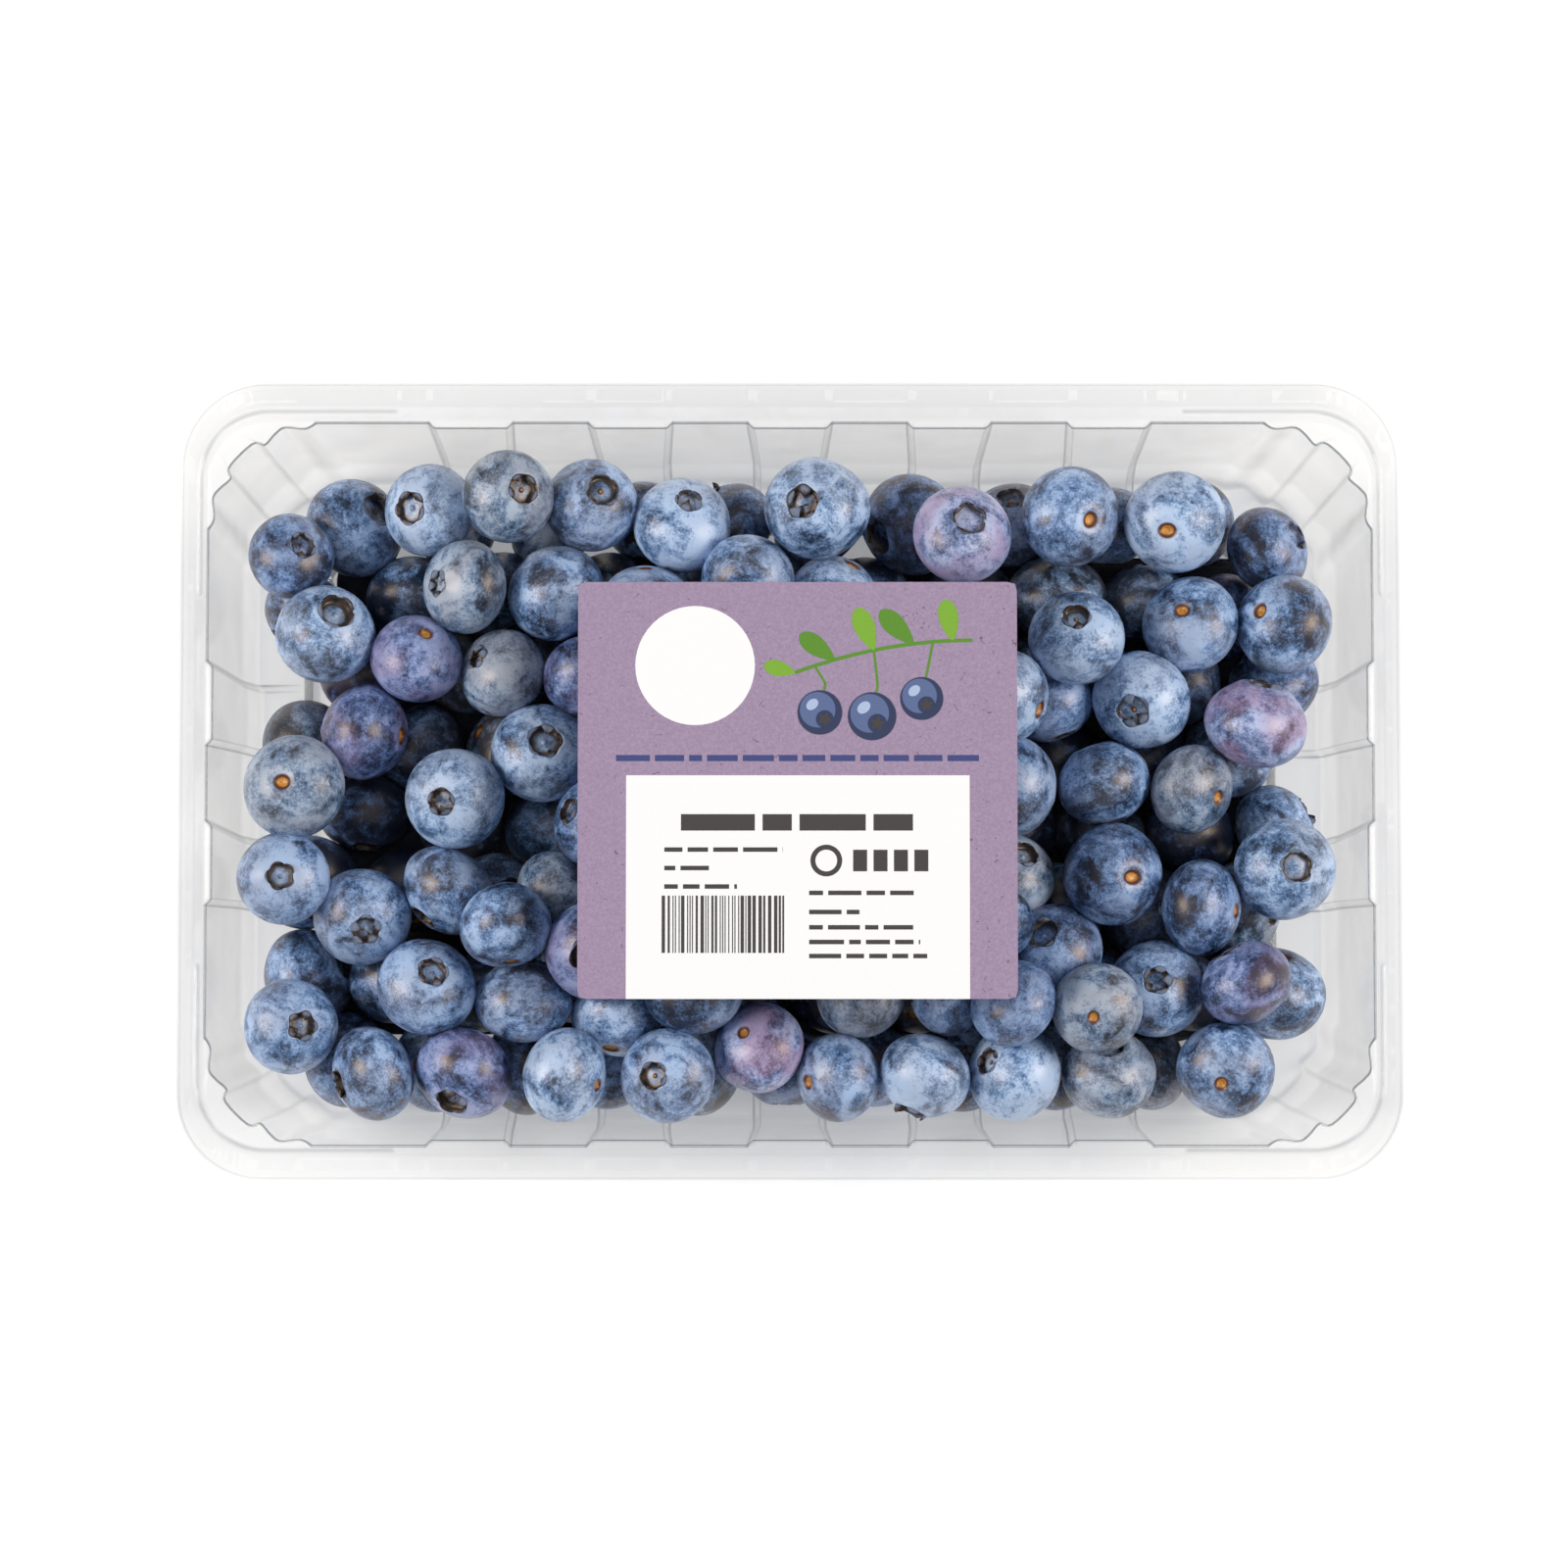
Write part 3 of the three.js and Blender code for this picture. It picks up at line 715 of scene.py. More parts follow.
def flecked_paper(name):
    """Mauve paper with a soft mottle, short dark fibres and a few pale ones."""
    material, tree = new_material(name)
    place = add(tree, "ShaderNodeTexCoord").outputs["Object"]
    mottle = ramped(tree, noise(tree, place, 2200, 4, 0.75), 0.36, 0.64)
    colour = mixed(tree, maths(tree, "MULTIPLY", mottle, 0.6), MAUVE, MAUVE_PALE)
    dark = ramped(tree, noise(tree, place, 800, 2, 0.5, 1.5), 0.68, 0.73)
    pale = ramped(tree, noise(tree, place, 700, 2, 0.5, 2.5), 0.70, 0.76)
    colour = mixed(tree, maths(tree, "MULTIPLY", dark, 0.9), colour, MAUVE_DARK)
    colour = mixed(tree, maths(tree, "MULTIPLY", pale, 0.5), colour, MAUVE_PALE)
    bump = add(tree, "ShaderNodeBump", Strength=0.15, Distance=0.0001, Height=mottle)
    shader = add(tree, "ShaderNodeBsdfPrincipled", Base_Color=colour, Roughness=0.72,
                 Normal=bump.outputs[0])
    output(tree, shader.outputs[0])
    return material


INKS = [ink("ink_white", (0.92, 0.93, 0.95, 1), grain=0.01), ink("ink_dark", (0.05, 0.045, 0.045, 1)),
        ink("ink_navy", (0.045, 0.06, 0.21, 1)), ink("ink_leaf", (0.20, 0.42, 0.03, 1)),
        ink("ink_leaf_dark", (0.10, 0.27, 0.02, 1)), ink("ink_berry", (0.022, 0.035, 0.10, 1)),
        ink("ink_berry_middle", (0.10, 0.145, 0.31, 1)), ink("ink_berry_light", (0.42, 0.52, 0.74, 1))]
WHITE, DARK, NAVY, LEAF, LEAF_DARK, BERRY, BERRY_MIDDLE, BERRY_LIGHT = range(len(INKS))

# %% The paper
label_half = (LABEL_LENGTH / 2, LABEL_WIDTH / 2)
label_middle = (LABEL_HIGH + LABEL_LOW) / 2 / MM
label_bottom = LABEL_LOW.z / MM - LABEL_DROP - FILM_SHEET
bm = rounded_plate(label_half[0], label_half[1], LABEL_CORNER, LABEL_CELLS, label_bottom)
bmesh.ops.translate(bm, vec=(label_middle.x, label_middle.y, 0), verts=bm.verts)
bmesh.ops.scale(bm, vec=(MM, MM, MM), verts=bm.verts)
bm.normal_update()
PAPER = (LABEL_HIGH.z - LABEL_LOW.z) / MM
label = piece_from("label_paper", mesh_from(bm, "label_paper", smooth=False), flecked_paper("label_paper"),
                   ["label"])
paper = label.modifiers.new("paper", "SOLIDIFY")
paper.thickness = PAPER * MM
paper.offset = 1
label_top = label_bottom + PAPER
print("label top in mm:", round(label_top, 2))


# %% [markdown]
# Each printed shape is a flat outline that is extruded by the thickness of the ink. Places on the
# label are measured in millimetres from its upper left corner, to the right and down.

# %% Helpers that print shapes
print_bm = bmesh.new()
LAYER = 0.006
LEAF_POINTS = 24
PRINT_SEED = 41


def printed(outline, colour, layer=0):
    """Extrudes an outline, given as points on the label, into a thin field of ink."""
    base = label_top + layer * LAYER
    corner = (label_middle.x - label_half[0], label_middle.y + label_half[1])
    verts = [print_bm.verts.new(Vector((corner[0] + u, corner[1] - v, base)) * MM) for u, v in outline]
    face = bmesh.ops.contextual_create(print_bm, geom=verts)["faces"][0]
    face.normal_update()
    if face.normal.z > 0:
        face.normal_flip()
    raised = bmesh.ops.extrude_face_region(print_bm, geom=[face], use_keep_orig=True)["geom"]
    top = [g for g in raised if isinstance(g, bmesh.types.BMVert)]
    bmesh.ops.translate(print_bm, vec=(0, 0, INK * MM), verts=top)
    for f in {f for v in [*verts, *top] for f in v.link_faces}:
        f.material_index = colour


def printed_bar(u0, v0, u1, v1, colour=DARK, layer=1):
    """A field with four corners: upper left (u0, v0) and lower right (u1, v1)."""
    printed([(u0, v0), (u1, v0), (u1, v1), (u0, v1)], colour, layer)


def turned_point(u, v, x, y, turn):
    """A place on the label, x along and y up from (u, v) in axes turned anticlockwise."""
    return u + x * math.cos(turn) - y * math.sin(turn), v - x * math.sin(turn) - y * math.cos(turn)


def printed_disc(u, v, radius_u, colour, layer=0, radius_v=None, turn=0.0, points=48):
    """A round or oval field, turned anticlockwise."""
    radius_v = radius_v or radius_u
    angles = [2 * math.pi * i / points for i in range(points)]
    outline = [turned_point(u, v, radius_u * math.cos(a), radius_v * math.sin(a), turn) for a in angles]
    printed(outline, colour, layer)


def printed_leaf(u, v, length, width, turn, colour, layer=1):
    """A leaf that starts at its stalk, where it is narrow."""
    outline = []
    for i in range(LEAF_POINTS):
        a = 2 * math.pi * i / LEAF_POINTS
        x = length * (1 - math.cos(a)) / 2
        y = width / 2 * math.sin(a) * (1 - 0.35 * math.cos(a)) * abs(math.sin(a)) ** 0.25
        outline.append(turned_point(u, v, x, y, turn))
    printed(outline, colour, layer)


spacing = np.random.default_rng(PRINT_SEED)


def bar_row(u0, u1, v, height, colour=DARK, gap=0.8):
    """A line of the label filled with plain bars of uneven, drawn length."""
    u = u0
    while u < u1:
        end = min(u + spacing.uniform(1.5, 5.5), u1)
        printed_bar(u, v + height * 0.2, end, v + height * 0.85, colour)
        u = end + gap


# %% Print the label
PANEL = (7.6, 30.5, 61.5, LABEL_WIDTH)
DISC = (18.4, 13.2, 9.4)
NAVY_ROW = (6.0, 63.0, 27.0, 1.5)
printed_bar(*PANEL, WHITE, 0)
printed_disc(*DISC, WHITE, 0)
bar_row(*NAVY_ROW, NAVY)

# The bold row: where each bar starts and ends
BOLD_BARS = ((16.2, 27.8), (29.0, 33.6), (34.8, 45.2), (46.4, 52.6))
BOLD_TOP, BOLD_FOOT = 36.6, 39.2
for start, end in BOLD_BARS:
    printed_bar(start, BOLD_TOP, end, BOLD_FOOT)

# The fine rows under it, left and right: where each one ends, and its height on the label
FINE_HEIGHT = 1.1
LEFT_START, LEFT_ROWS = 13.6, ((32.2, 41.6), (20.6, 44.5), (25.0, 47.4))
RIGHT_START = 36.3
RIGHT_ROWS = ((52.7, 48.4), (44.2, 51.4), (52.7, 53.8), (53.7, 56.1), (54.8, 58.3))
for start, rows in ((LEFT_START, LEFT_ROWS), (RIGHT_START, RIGHT_ROWS)):
    for end, v in rows:
        bar_row(start, end, v, FINE_HEIGHT)

# Four blocks beside a ring
BLOCKS_START, BLOCKS_TOP, BLOCKS_FOOT = 43.2, 42.2, 45.6
BLOCK_PITCH, BLOCK_WIDTH = 3.2, 2.2
RING = (39.0, 43.9)
RING_RADIUS, RING_HOLE = 2.5, 1.7
for i in range(4):
    start = BLOCKS_START + i * BLOCK_PITCH
    printed_bar(start, BLOCKS_TOP, start + BLOCK_WIDTH, BLOCKS_FOOT)
printed_disc(*RING, RING_RADIUS, DARK, 1)
printed_disc(*RING, RING_HOLE, WHITE, 2)

# The block of stripes, of drawn widths and gaps
STRIPES = (13.2, 32.4)
STRIPES_TOP, STRIPES_FOOT = 49.4, 58.4
STRIPE_WIDTHS = [0.18, 0.18, 0.36, 0.54]
STRIPE_GAPS = [0.2, 0.2, 0.4]
u = STRIPES[0]
while u < STRIPES[1]:
    width = spacing.choice(STRIPE_WIDTHS)
    printed_bar(u, STRIPES_TOP, min(u + width, STRIPES[1]), STRIPES_FOOT)
    u += width + spacing.choice(STRIPE_GAPS)
print("printed faces so far:", len(print_bm.faces))

# %% [markdown]
# The printed sprig is a plain twig with five leaves and three hanging berries. Each berry is a dark
# disc with a lighter one set towards the light, a soft spot on it, and a small star for the crown.
# Each berry's fields lie on layers of their own, so that no two that overlap share a level.


# %% Print the sprig
def printed_star(u, v, radius, colour, layer, turn):
    """A star with five blunt arms."""
    outline = []
    for i in range(10):
        a = turn + 2 * math.pi * i / 10
        reach = radius if i % 2 == 0 else radius * 0.5
        outline.append((u + reach * math.cos(a), v - reach * math.sin(a)))
    printed(outline, colour, layer)


def printed_twig(points, width, colour, layer):
    """A thin bent stalk of straight pieces through the points, on the label."""
    for (u0, v0), (u1, v1) in zip(points, points[1:]):
        along = math.hypot(u1 - u0, v1 - v0)
        side_u, side_v = (v1 - v0) / along * width / 2, -(u1 - u0) / along * width / 2
        printed([(u0 + side_u, v0 + side_v), (u1 + side_u, v1 + side_v),
                 (u1 - side_u, v1 - side_v), (u0 - side_u, v0 - side_v)], colour, layer)


# The twig's bends, then each berry's middle and radius, and each leaf's foot, size, turn and ink
TWIG = [(62.0 - 3.1 * i, 9.2 + 0.063 * i * i) for i in range(10)]
TWIG_WIDTH, STALK_WIDTH = 0.6, 0.4
SPRIG = [(54.0, 18.4, 3.4), (46.2, 21.2, 3.8), (38.0, 20.6, 3.5)]
LEAVES = [(*TWIG[1], 6.6, 3.0, 1.75, LEAF), (*TWIG[3], 7.4, 3.2, 2.35, LEAF_DARK),
          (*TWIG[5], 7.2, 3.2, 1.95, LEAF), (*TWIG[7], 6.8, 3.0, 2.5, LEAF_DARK),
          (*TWIG[9], 5.0, 2.4, 2.9, LEAF)]
printed_twig(TWIG, TWIG_WIDTH, LEAF_DARK, 0)
for (u, v, radius), node in zip(SPRIG, TWIG[2::3]):
    printed_twig([node, (u + 0.9, v - radius * 1.3), (u, v)], STALK_WIDTH, LEAF_DARK, 1)
for u, v, length, width, turn, colour in LEAVES:
    printed_leaf(u, v, length, width, turn, colour, 2)
for order, (u, v, radius) in enumerate(SPRIG):
    layer = 3 + 4 * order
    printed_disc(u, v, radius, BERRY, layer)
    printed_disc(u - radius * 0.1, v - radius * 0.12, radius * 0.8, BERRY_MIDDLE, layer + 1)
    printed_disc(u - radius * 0.34, v - radius * 0.36, radius * 0.3, BERRY_LIGHT, layer + 2,
                 radius_v=radius * 0.22, turn=0.7)
    crown = (u + radius * 0.22, v + radius * 0.3)
    printed_disc(*crown, radius * 0.4, BERRY, layer + 2)
    printed_star(*crown, radius * 0.34, DARK, layer + 3, 0.4 + order)
bmesh.ops.recalc_face_normals(print_bm, faces=print_bm.faces)
print_mesh = mesh_from(print_bm, "label_print", smooth=False)
label_print = piece_from("label_print", print_mesh, None)
for material in INKS:
    label_print.data.materials.append(material)
print("printed faces:", len(label_print.data.polygons))

# %% [markdown]
# ## Where the berries lie
# The heap is built as a real one is: the berries start in staggered layers, sink, and push each
# other apart until they lie still between the walls. The random draws start from a fixed seed,
# so the heap is the same each time, and it is the heap that the solid under it was made from.
# Seventeen berries that stand out in the pack are held at their place on the tray.

# %% Sizes of the heap
BERRY_LAYERS = [dict(z=9, pitch=15.4, row=13.2, half_x=81, half_y=47),
                dict(z=23, pitch=14.9, row=13.2, half_x=83, half_y=48)]
TOP_TRIES = 10
TOP_PLACE = (74, 40, 31)
SMALLEST_RADIUS = 6.6
RADIUS_SPREAD = 1.0
FLATTEST = 0.8
FLATNESS_SPREAD = 0.12
SITE_JITTER = 3.0
WALL_GAP = 0.5
CORNER_CUT = 8.8
HEAP_TOP = 38
SETTLE_STEPS = 420
FALL_STEPS = 300
FALL = 0.22
PUSH = 0.4
SEED = 808
CAD_SHEET = 0.5

# Place on the tray, radius, the way the crown points, and the kind of berry
LANDMARKS = [
    (-68.4, 9.1, 7.8, (-0.95, 0.1, -0.3), "violet"),
    (27.7, 40.6, 8.0, (0.16, 0.31, 0.94), "mauve"),
    (75.0, 10.4, 8.3, (0.2, 0.95, 0.25), "lilac"),
    (-4.9, -41.6, 7.4, (0.43, -0.39, -0.81), "lilac"),
    (-80.2, 0.1, 8.3, (0.2, -0.04, -0.98), "slate"),
    (45.2, 43.8, 8.1, (-0.42, 0.17, -0.89), "blue"),
    (62.1, 43.1, 8.3, (0.24, 0.31, -0.92), "pale"),
    (80.7, -12.9, 8.2, (0.19, 0, 0.98), "pale"),
    (-53.7, -1.9, 8.1, (-0.26, -0.14, 0.95), "pale"),
    (58.6, -32.2, 7.9, (0, 0.2, 0.98), "blue"),
    (-74.7, 24.9, 8.2, (0.31, 0.44, 0.84), "pale"),
    (4.6, 44.7, 8.4, (-0.37, 0.04, 0.93), "pale"),
    (-17.3, 42.8, 8.0, (0.18, 0.51, 0.84), "pale"),
    (-58.1, 45.0, 7.5, (-0.46, -0.04, 0.88), "pale"),
    (-68.7, -20.5, 7.8, (0.16, -0.39, 0.91), "blue"),
    (46.0, 23.8, 7.7, (-0.06, 0.48, 0.87), "pale"),
    (69.9, -45.1, 7.9, (0.2, 0.4, -0.9), "blue"),
]
LANDMARK_Z = 25
LANDMARK_LOWEST = 20.5
LANDMARK_ROOM = 12


# %% Start places of the berries
def draws_from(seed):
    """Draws in [0, 1) that repeat from the same seed."""
    state = seed
    while True:
        state = state * 16807 % 2147483647
        yield state / 2147483647


draws = draws_from(SEED)


def drawn_radius():
    """A radius between the smallest and the largest, most often near the middle."""
    return SMALLEST_RADIUS + RADIUS_SPREAD * (next(draws) + next(draws))


def crowds_landmark(x, y, z):
    """Whether a place in the upper heap is already taken by a landmark berry."""
    return z > LANDMARK_LOWEST and any(math.hypot(mark[0] - x, mark[1] - y) < LANDMARK_ROOM
                                       for mark in LANDMARKS)


def layer_sites(z, pitch, row, half_x, half_y):
    """Staggered rows of one layer, each place shaken a little."""
    rows = int(2 * half_y / row) + 1
    sites = []
    for j in range(rows):
        y = (j - (rows - 1) / 2) * row
        x = -half_x + j % 2 * (pitch / 2)
        while x <= half_x:
            shaken = [value + SITE_JITTER * (next(draws) - 0.5) for value in (x, y, z)]
            site = (*shaken, drawn_radius())
            if not crowds_landmark(x, y, z):
                sites.append(site)
            x += pitch
    return sites


sites = [(x, y, LANDMARK_Z, radius) for x, y, radius, _, _ in LANDMARKS]
for layer in BERRY_LAYERS:
    sites += layer_sites(**layer)
for _ in range(TOP_TRIES):
    x, y = TOP_PLACE[0] * (2 * next(draws) - 1), TOP_PLACE[1] * (2 * next(draws) - 1)
    radius = drawn_radius()
    if not crowds_landmark(x, y, TOP_PLACE[2]):
        sites.append((x, y, TOP_PLACE[2], radius))

count = len(sites)
flatness = np.zeros(count)
crowns = np.zeros((count, 3))
for i in range(count):
    flatness[i] = FLATTEST + FLATNESS_SPREAD * next(draws)
    up, turn = 2 * next(draws) - 1, 2 * math.pi * next(draws)
    flat = math.sqrt(1 - up * up)
    drawn = (flat * math.cos(turn), flat * math.sin(turn), up)
    crowns[i] = LANDMARKS[i][3] if i < len(LANDMARKS) else drawn
crowns /= np.linalg.norm(crowns, axis=1)[:, None]
print("berries:", count)


# %% Let the heap settle
def keep_inside(place, radius):
    """Keeps the berries off the floor, the four walls and the cut corners, and under the level
    that the heap was smoothed to."""
    reach = radius + WALL_GAP
    place[:, 2] = np.maximum(place[:, 2], CAD_SHEET + PANEL_RISE + reach)
    place[:, 2] = np.minimum(place[:, 2], HEAP_TOP - radius)
    back = CAD_SHEET + RIB_DEPTH + wall_taper(place[:, 2] - 0.5 * radius) + reach
    limit = np.stack([WALL_HALF_X - back, WALL_HALF_Y - back], 1)
    place[:, :2] = np.clip(place[:, :2], -limit, limit)
    diagonal = (limit - np.abs(place[:, :2])).sum(1) * math.sqrt(0.5)
    short = np.maximum(CORNER_CUT - (math.sqrt(2) - 1) * reach - diagonal, 0)
    place[:, :2] -= np.sign(place[:, :2]) * (short * math.sqrt(0.5))[:, None]


place = np.array([site[:3] for site in sites], float)
radius = np.array([site[3] for site in sites])
contact = radius * (2 + flatness) / 3
held = np.arange(count) < len(LANDMARKS)
for step in range(SETTLE_STEPS):
    between = place[:, None] - place[None]
    apart = np.sqrt((between ** 2).sum(2)) + np.eye(count)
    overlap = np.maximum(contact[:, None] + contact[None] - apart, 0) * (1 - np.eye(count))
    moves = (PUSH * (overlap / apart)[:, :, None] * between).sum(1)
    moves[:, 2] -= FALL if step < FALL_STEPS else 0
    moves[held, :2] = 0
    place += moves
    place[held, 2] = np.maximum(place[held, 2], LANDMARK_LOWEST)
    keep_inside(place, radius)
print("heap from z", round(place[:, 2].min(), 1), "to", round(place[:, 2].max(), 1))

# %% [markdown]
# ## One berry
# A blueberry is a squat ball. At one end is the crown: a round crater with a raised rim, where the
# flower sat. At the other is the small round scar of the stalk, in a dimple. Its profile is spun
# round the berry's axis, from the scar to the crater's floor. Two marks go with each point of the
# profile: how far it is inside the crater, and how far inside the scar. A third says how near it is
# to either end, where the bloom lies thicker. The skin's finish reads all three.

# %% Spin the profile of a berry
SPIN_STEPS = 44
BODY_STEPS = 17
SCAR_END = math.radians(-76)
CROWN_END = math.radians(66)

# Out from the axis, up along it, inside the crater, inside the scar
SCAR_PROFILE = [(0, -0.88, 0, 1), (0.055, -0.88, 0, 1), (0.085, -0.895, 0, 0.85), (0.11, -0.925, 0, 0.6),
                (0.14, -0.95, 0, 0.4), (0.17, -0.959, 0, 0.2), (0.21, -0.963, 0, 0)]
CROWN_PROFILE = [(0.39, 0.918, 0, 0), (0.365, 0.935, 0.05, 0), (0.34, 0.94, 0.3, 0),
                 (0.32, 0.918, 0.7, 0), (0.305, 0.86, 1, 0), (0.29, 0.79, 1, 0),
                 (0.25, 0.765, 0.75, 0), (0.17, 0.785, 0.45, 0), (0.08, 0.79, 0.4, 0),
                 (0.045, 0.80, 0.25, 0.5), (0.03, 0.83, 0.2, 0.8), (0, 0.838, 0.2, 0.9)]
body = [SCAR_END + (CROWN_END - SCAR_END) * i / BODY_STEPS for i in range(BODY_STEPS + 1)]
BODY_PROFILE = [(math.cos(a), math.sin(a), 0, 0) for a in body]
profile = [*SCAR_PROFILE, *BODY_PROFILE, *CROWN_PROFILE]

bm = bmesh.new()
marks = bm.verts.layers.float_vector.new("berry_marks")
line = []
for out, up, crater, scar in profile:
    vert = bm.verts.new((out, 0, up))
    ring_of_bloom = share_of(out, 0.62, 0.42) * (1 if up > 0 else 0.4) * (crater < 0.5) * (scar < 0.5)
    vert[marks] = (crater, scar, ring_of_bloom)
    line.append(vert)
for a, b in zip(line, line[1:]):
    bm.edges.new((a, b))
bmesh.ops.spin(bm, geom=[*bm.verts, *bm.edges], cent=(0, 0, 0), axis=(0, 0, 1), angle=2 * math.pi,
               steps=SPIN_STEPS, use_merge=True)
bmesh.ops.remove_doubles(bm, verts=bm.verts, dist=1e-5)
bmesh.ops.recalc_face_normals(bm, faces=bm.faces)
berry_template = mesh_from(bm, "berry_template")
berry_triangles = sum(len(p.vertices) - 2 for p in berry_template.polygons)
print("triangles in a berry:", berry_triangles)


# %% [markdown]
# ## Many berries
# Copies of the one berry are joined into one mesh for each kind. Each copy is then squashed along
# its axis, given a few soft lumps of its own, turned so that its crown points the right way, and
# put in its place. No two are alike. The skin's finish needs to know where on which berry a point
# is, so each point keeps that as an attribute in millimetres, shifted by a different step for
# each berry.

# %% Helpers that read and shape copies
def values_of(mesh, name):
    """An attribute of a mesh as rows of three numbers."""
    rows = np.zeros(len(mesh.vertices) * 3, np.float32)
    if name == "position":
        mesh.vertices.foreach_get("co", rows)
    else:
        mesh.attributes[name].data.foreach_get("vector", rows)
    return rows.reshape(-1, 3).astype(float)


def axes_for(crown, roll):
    """Three unit directions as rows, the last one along the crown."""
    helper = np.array((0, 0, 1.0)) if abs(crown[2]) < 0.9 else np.array((0, 1.0, 0))
    side = np.cross(helper, crown)
    side /= np.linalg.norm(side)
    other = np.cross(crown, side)
    return np.stack([side * math.cos(roll) + other * math.sin(roll),
                     other * math.cos(roll) - side * math.sin(roll), crown])


def lumps(directions, rng, swell):
    """Soft uneven swellings over a ball, as shares of its radius."""
    total = np.zeros(len(directions))
    for waves in (1.6, 2.2, 3.0, 4.2, 6.5):
        axis = rng.normal(size=3)
        axis /= np.linalg.norm(axis)
        total += np.sin(waves * 1.5 * directions @ axis + rng.uniform(0, 6.3)) / waves ** 1.3
    return swell * total


def joined_copies(name, template, shapes, attributes):
    """One mesh of many copies: shapes holds each copy's points, attributes their values."""
    bm = bmesh.new()
    for _ in shapes:
        bm.from_mesh(template)
    mesh = mesh_from(bm, name)
    mesh.vertices.foreach_set("co", (np.concatenate(shapes) * MM).astype(np.float32).ravel())
    for key, rows in attributes.items():
        attribute = mesh.attributes.get(key) or mesh.attributes.new(key, "FLOAT_VECTOR", "POINT")
        attribute.data.foreach_set("vector", np.concatenate(rows).astype(np.float32).ravel())
    mesh.update()
    return mesh


# %% [markdown]
# ## The skin
# The skin itself is nearly black navy. What the eye sees is the bloom, a dusting of wax that
# scatters blue light. It lies in clouds, is rubbed off in patches and streaks, and is thickest
# round the crown. So the finish adds up a coarse, a middle and a fine noise, and goes from the bare
# skin to a thin powder and then to full bloom. The bare skin is a little glossier. The scar is
# orange cork, and the inside of the crown is dry and dark, darkest on its walls with painted shade.
#
# Each berry also has its mood, three draws of its own: more or less bloom, a darker or a lighter
# crater, and a stronger or weaker ring of bloom round its ends. Deep in the heap, painted shade
# is taken off the first of them.


# %% Finish of the berries
THIN_BLOOM = (0.30, 0.43, 0.58)
CRATER_SHADE_DARK = (0.008, 0.007, 0.008, 1)
CRATER_BROWN = (0.085, 0.058, 0.05, 1)
SCAR_RIND = (0.085, 0.022, 0.016, 1)
CORK_DARK = (0.42, 0.13, 0.015, 1)
CORK_LIGHT = (0.72, 0.36, 0.05, 1)
HIGHLIGHT_TINT = (1.0, 0.83, 0.68, 1)


def berry_finish(name, skin, bloom, flush, level, flush_share):
    """Skin under bloom: level is how much bloom, flush_share how much of the second colour."""
    material, tree = new_material(name)
    grain = read(tree, "berry_grain").outputs["Vector"]
    marks = add(tree, "ShaderNodeSeparateXYZ", Vector=read(tree, "berry_marks").outputs["Vector"])
    mood = add(tree, "ShaderNodeSeparateXYZ", Vector=read(tree, "berry_mood_and_shade").outputs["Vector"])
    cloud = noise(tree, grain, 0.17, 3, 0.55, 0.8)
    mottle = noise(tree, grain, 0.75, 9, 0.76, 0.3)
    fleck = noise(tree, grain, 2.6, 5, 0.7)
    amount = maths(tree, "MULTIPLY_ADD", cloud, 3.3, level - 3.55)
    amount = maths(tree, "MULTIPLY_ADD", mottle, 2.8, amount)
    amount = maths(tree, "MULTIPLY_ADD", fleck, 2.0, amount)
    ringed = maths(tree, "MULTIPLY", marks.outputs[2], mood.outputs[2])
    amount = maths(tree, "MULTIPLY_ADD", ringed, 0.55, amount)
    # The first mood value is the berry's own bloom draw, with painted shade taken off deep down.
    amount = maths(tree, "ADD", amount, mood.outputs[0])
    powder = tuple(c * share for c, share in zip(bloom, THIN_BLOOM)) + (1,)
    bloomed = ramped(tree, amount, -0.15, 0.75)
    colour = mixed(tree, bloomed, skin, powder)
    colour = mixed(tree, ramped(tree, amount, 0.45, 1.25), colour, bloom)
    flushed = ramped(tree, noise(tree, grain, 0.11, 2, 0.5, 0.4), 0.42, 0.62, 0, flush_share)
    tinted = mixed(tree, bloomed, tuple(c * 0.35 for c in flush[:3]) + (1,), flush)
    colour = mixed(tree, flushed, colour, tinted)
    # Painted shade: the crater's dry inside darkens further, most on its steep walls.
    darkened = maths(tree, "MULTIPLY_ADD", mood.outputs[1], 1.1, 0.85)
    patchy = maths(tree, "MULTIPLY_ADD", mottle, 2.0, -1.0)
    inside = maths(tree, "MULTIPLY_ADD", marks.outputs[0], darkened, patchy)
    dry = ramped(tree, inside, 0.5, 1.2)
    inner = mixed(tree, ramped(tree, mottle, 0.4, 0.6), CRATER_SHADE_DARK, CRATER_BROWN)
    colour = mixed(tree, dry, colour, inner)
    rind = ramped(tree, marks.outputs[1], 0.12, 0.45)
    cork = ramped(tree, marks.outputs[1], 0.58, 0.92)
    colour = mixed(tree, rind, colour, SCAR_RIND)
    cork_colour = mixed(tree, ramped(tree, fleck, 0.35, 0.65), CORK_DARK, CORK_LIGHT)
    colour = mixed(tree, cork, colour, cork_colour)
    height = maths(tree, "MULTIPLY_ADD", fleck, 0.4, mottle)
    bump = add(tree, "ShaderNodeBump", Strength=0.22, Distance=0.0002, Height=height)
    shader = add(tree, "ShaderNodeBsdfPrincipled", Base_Color=colour,
                 Roughness=ramped(tree, bloomed, 0, 1, 0.35, 0.42),
                 Specular_IOR_Level=0.95, Specular_Tint=HIGHLIGHT_TINT, Normal=bump.outputs[0])
    output(tree, shader.outputs[0])
    return material


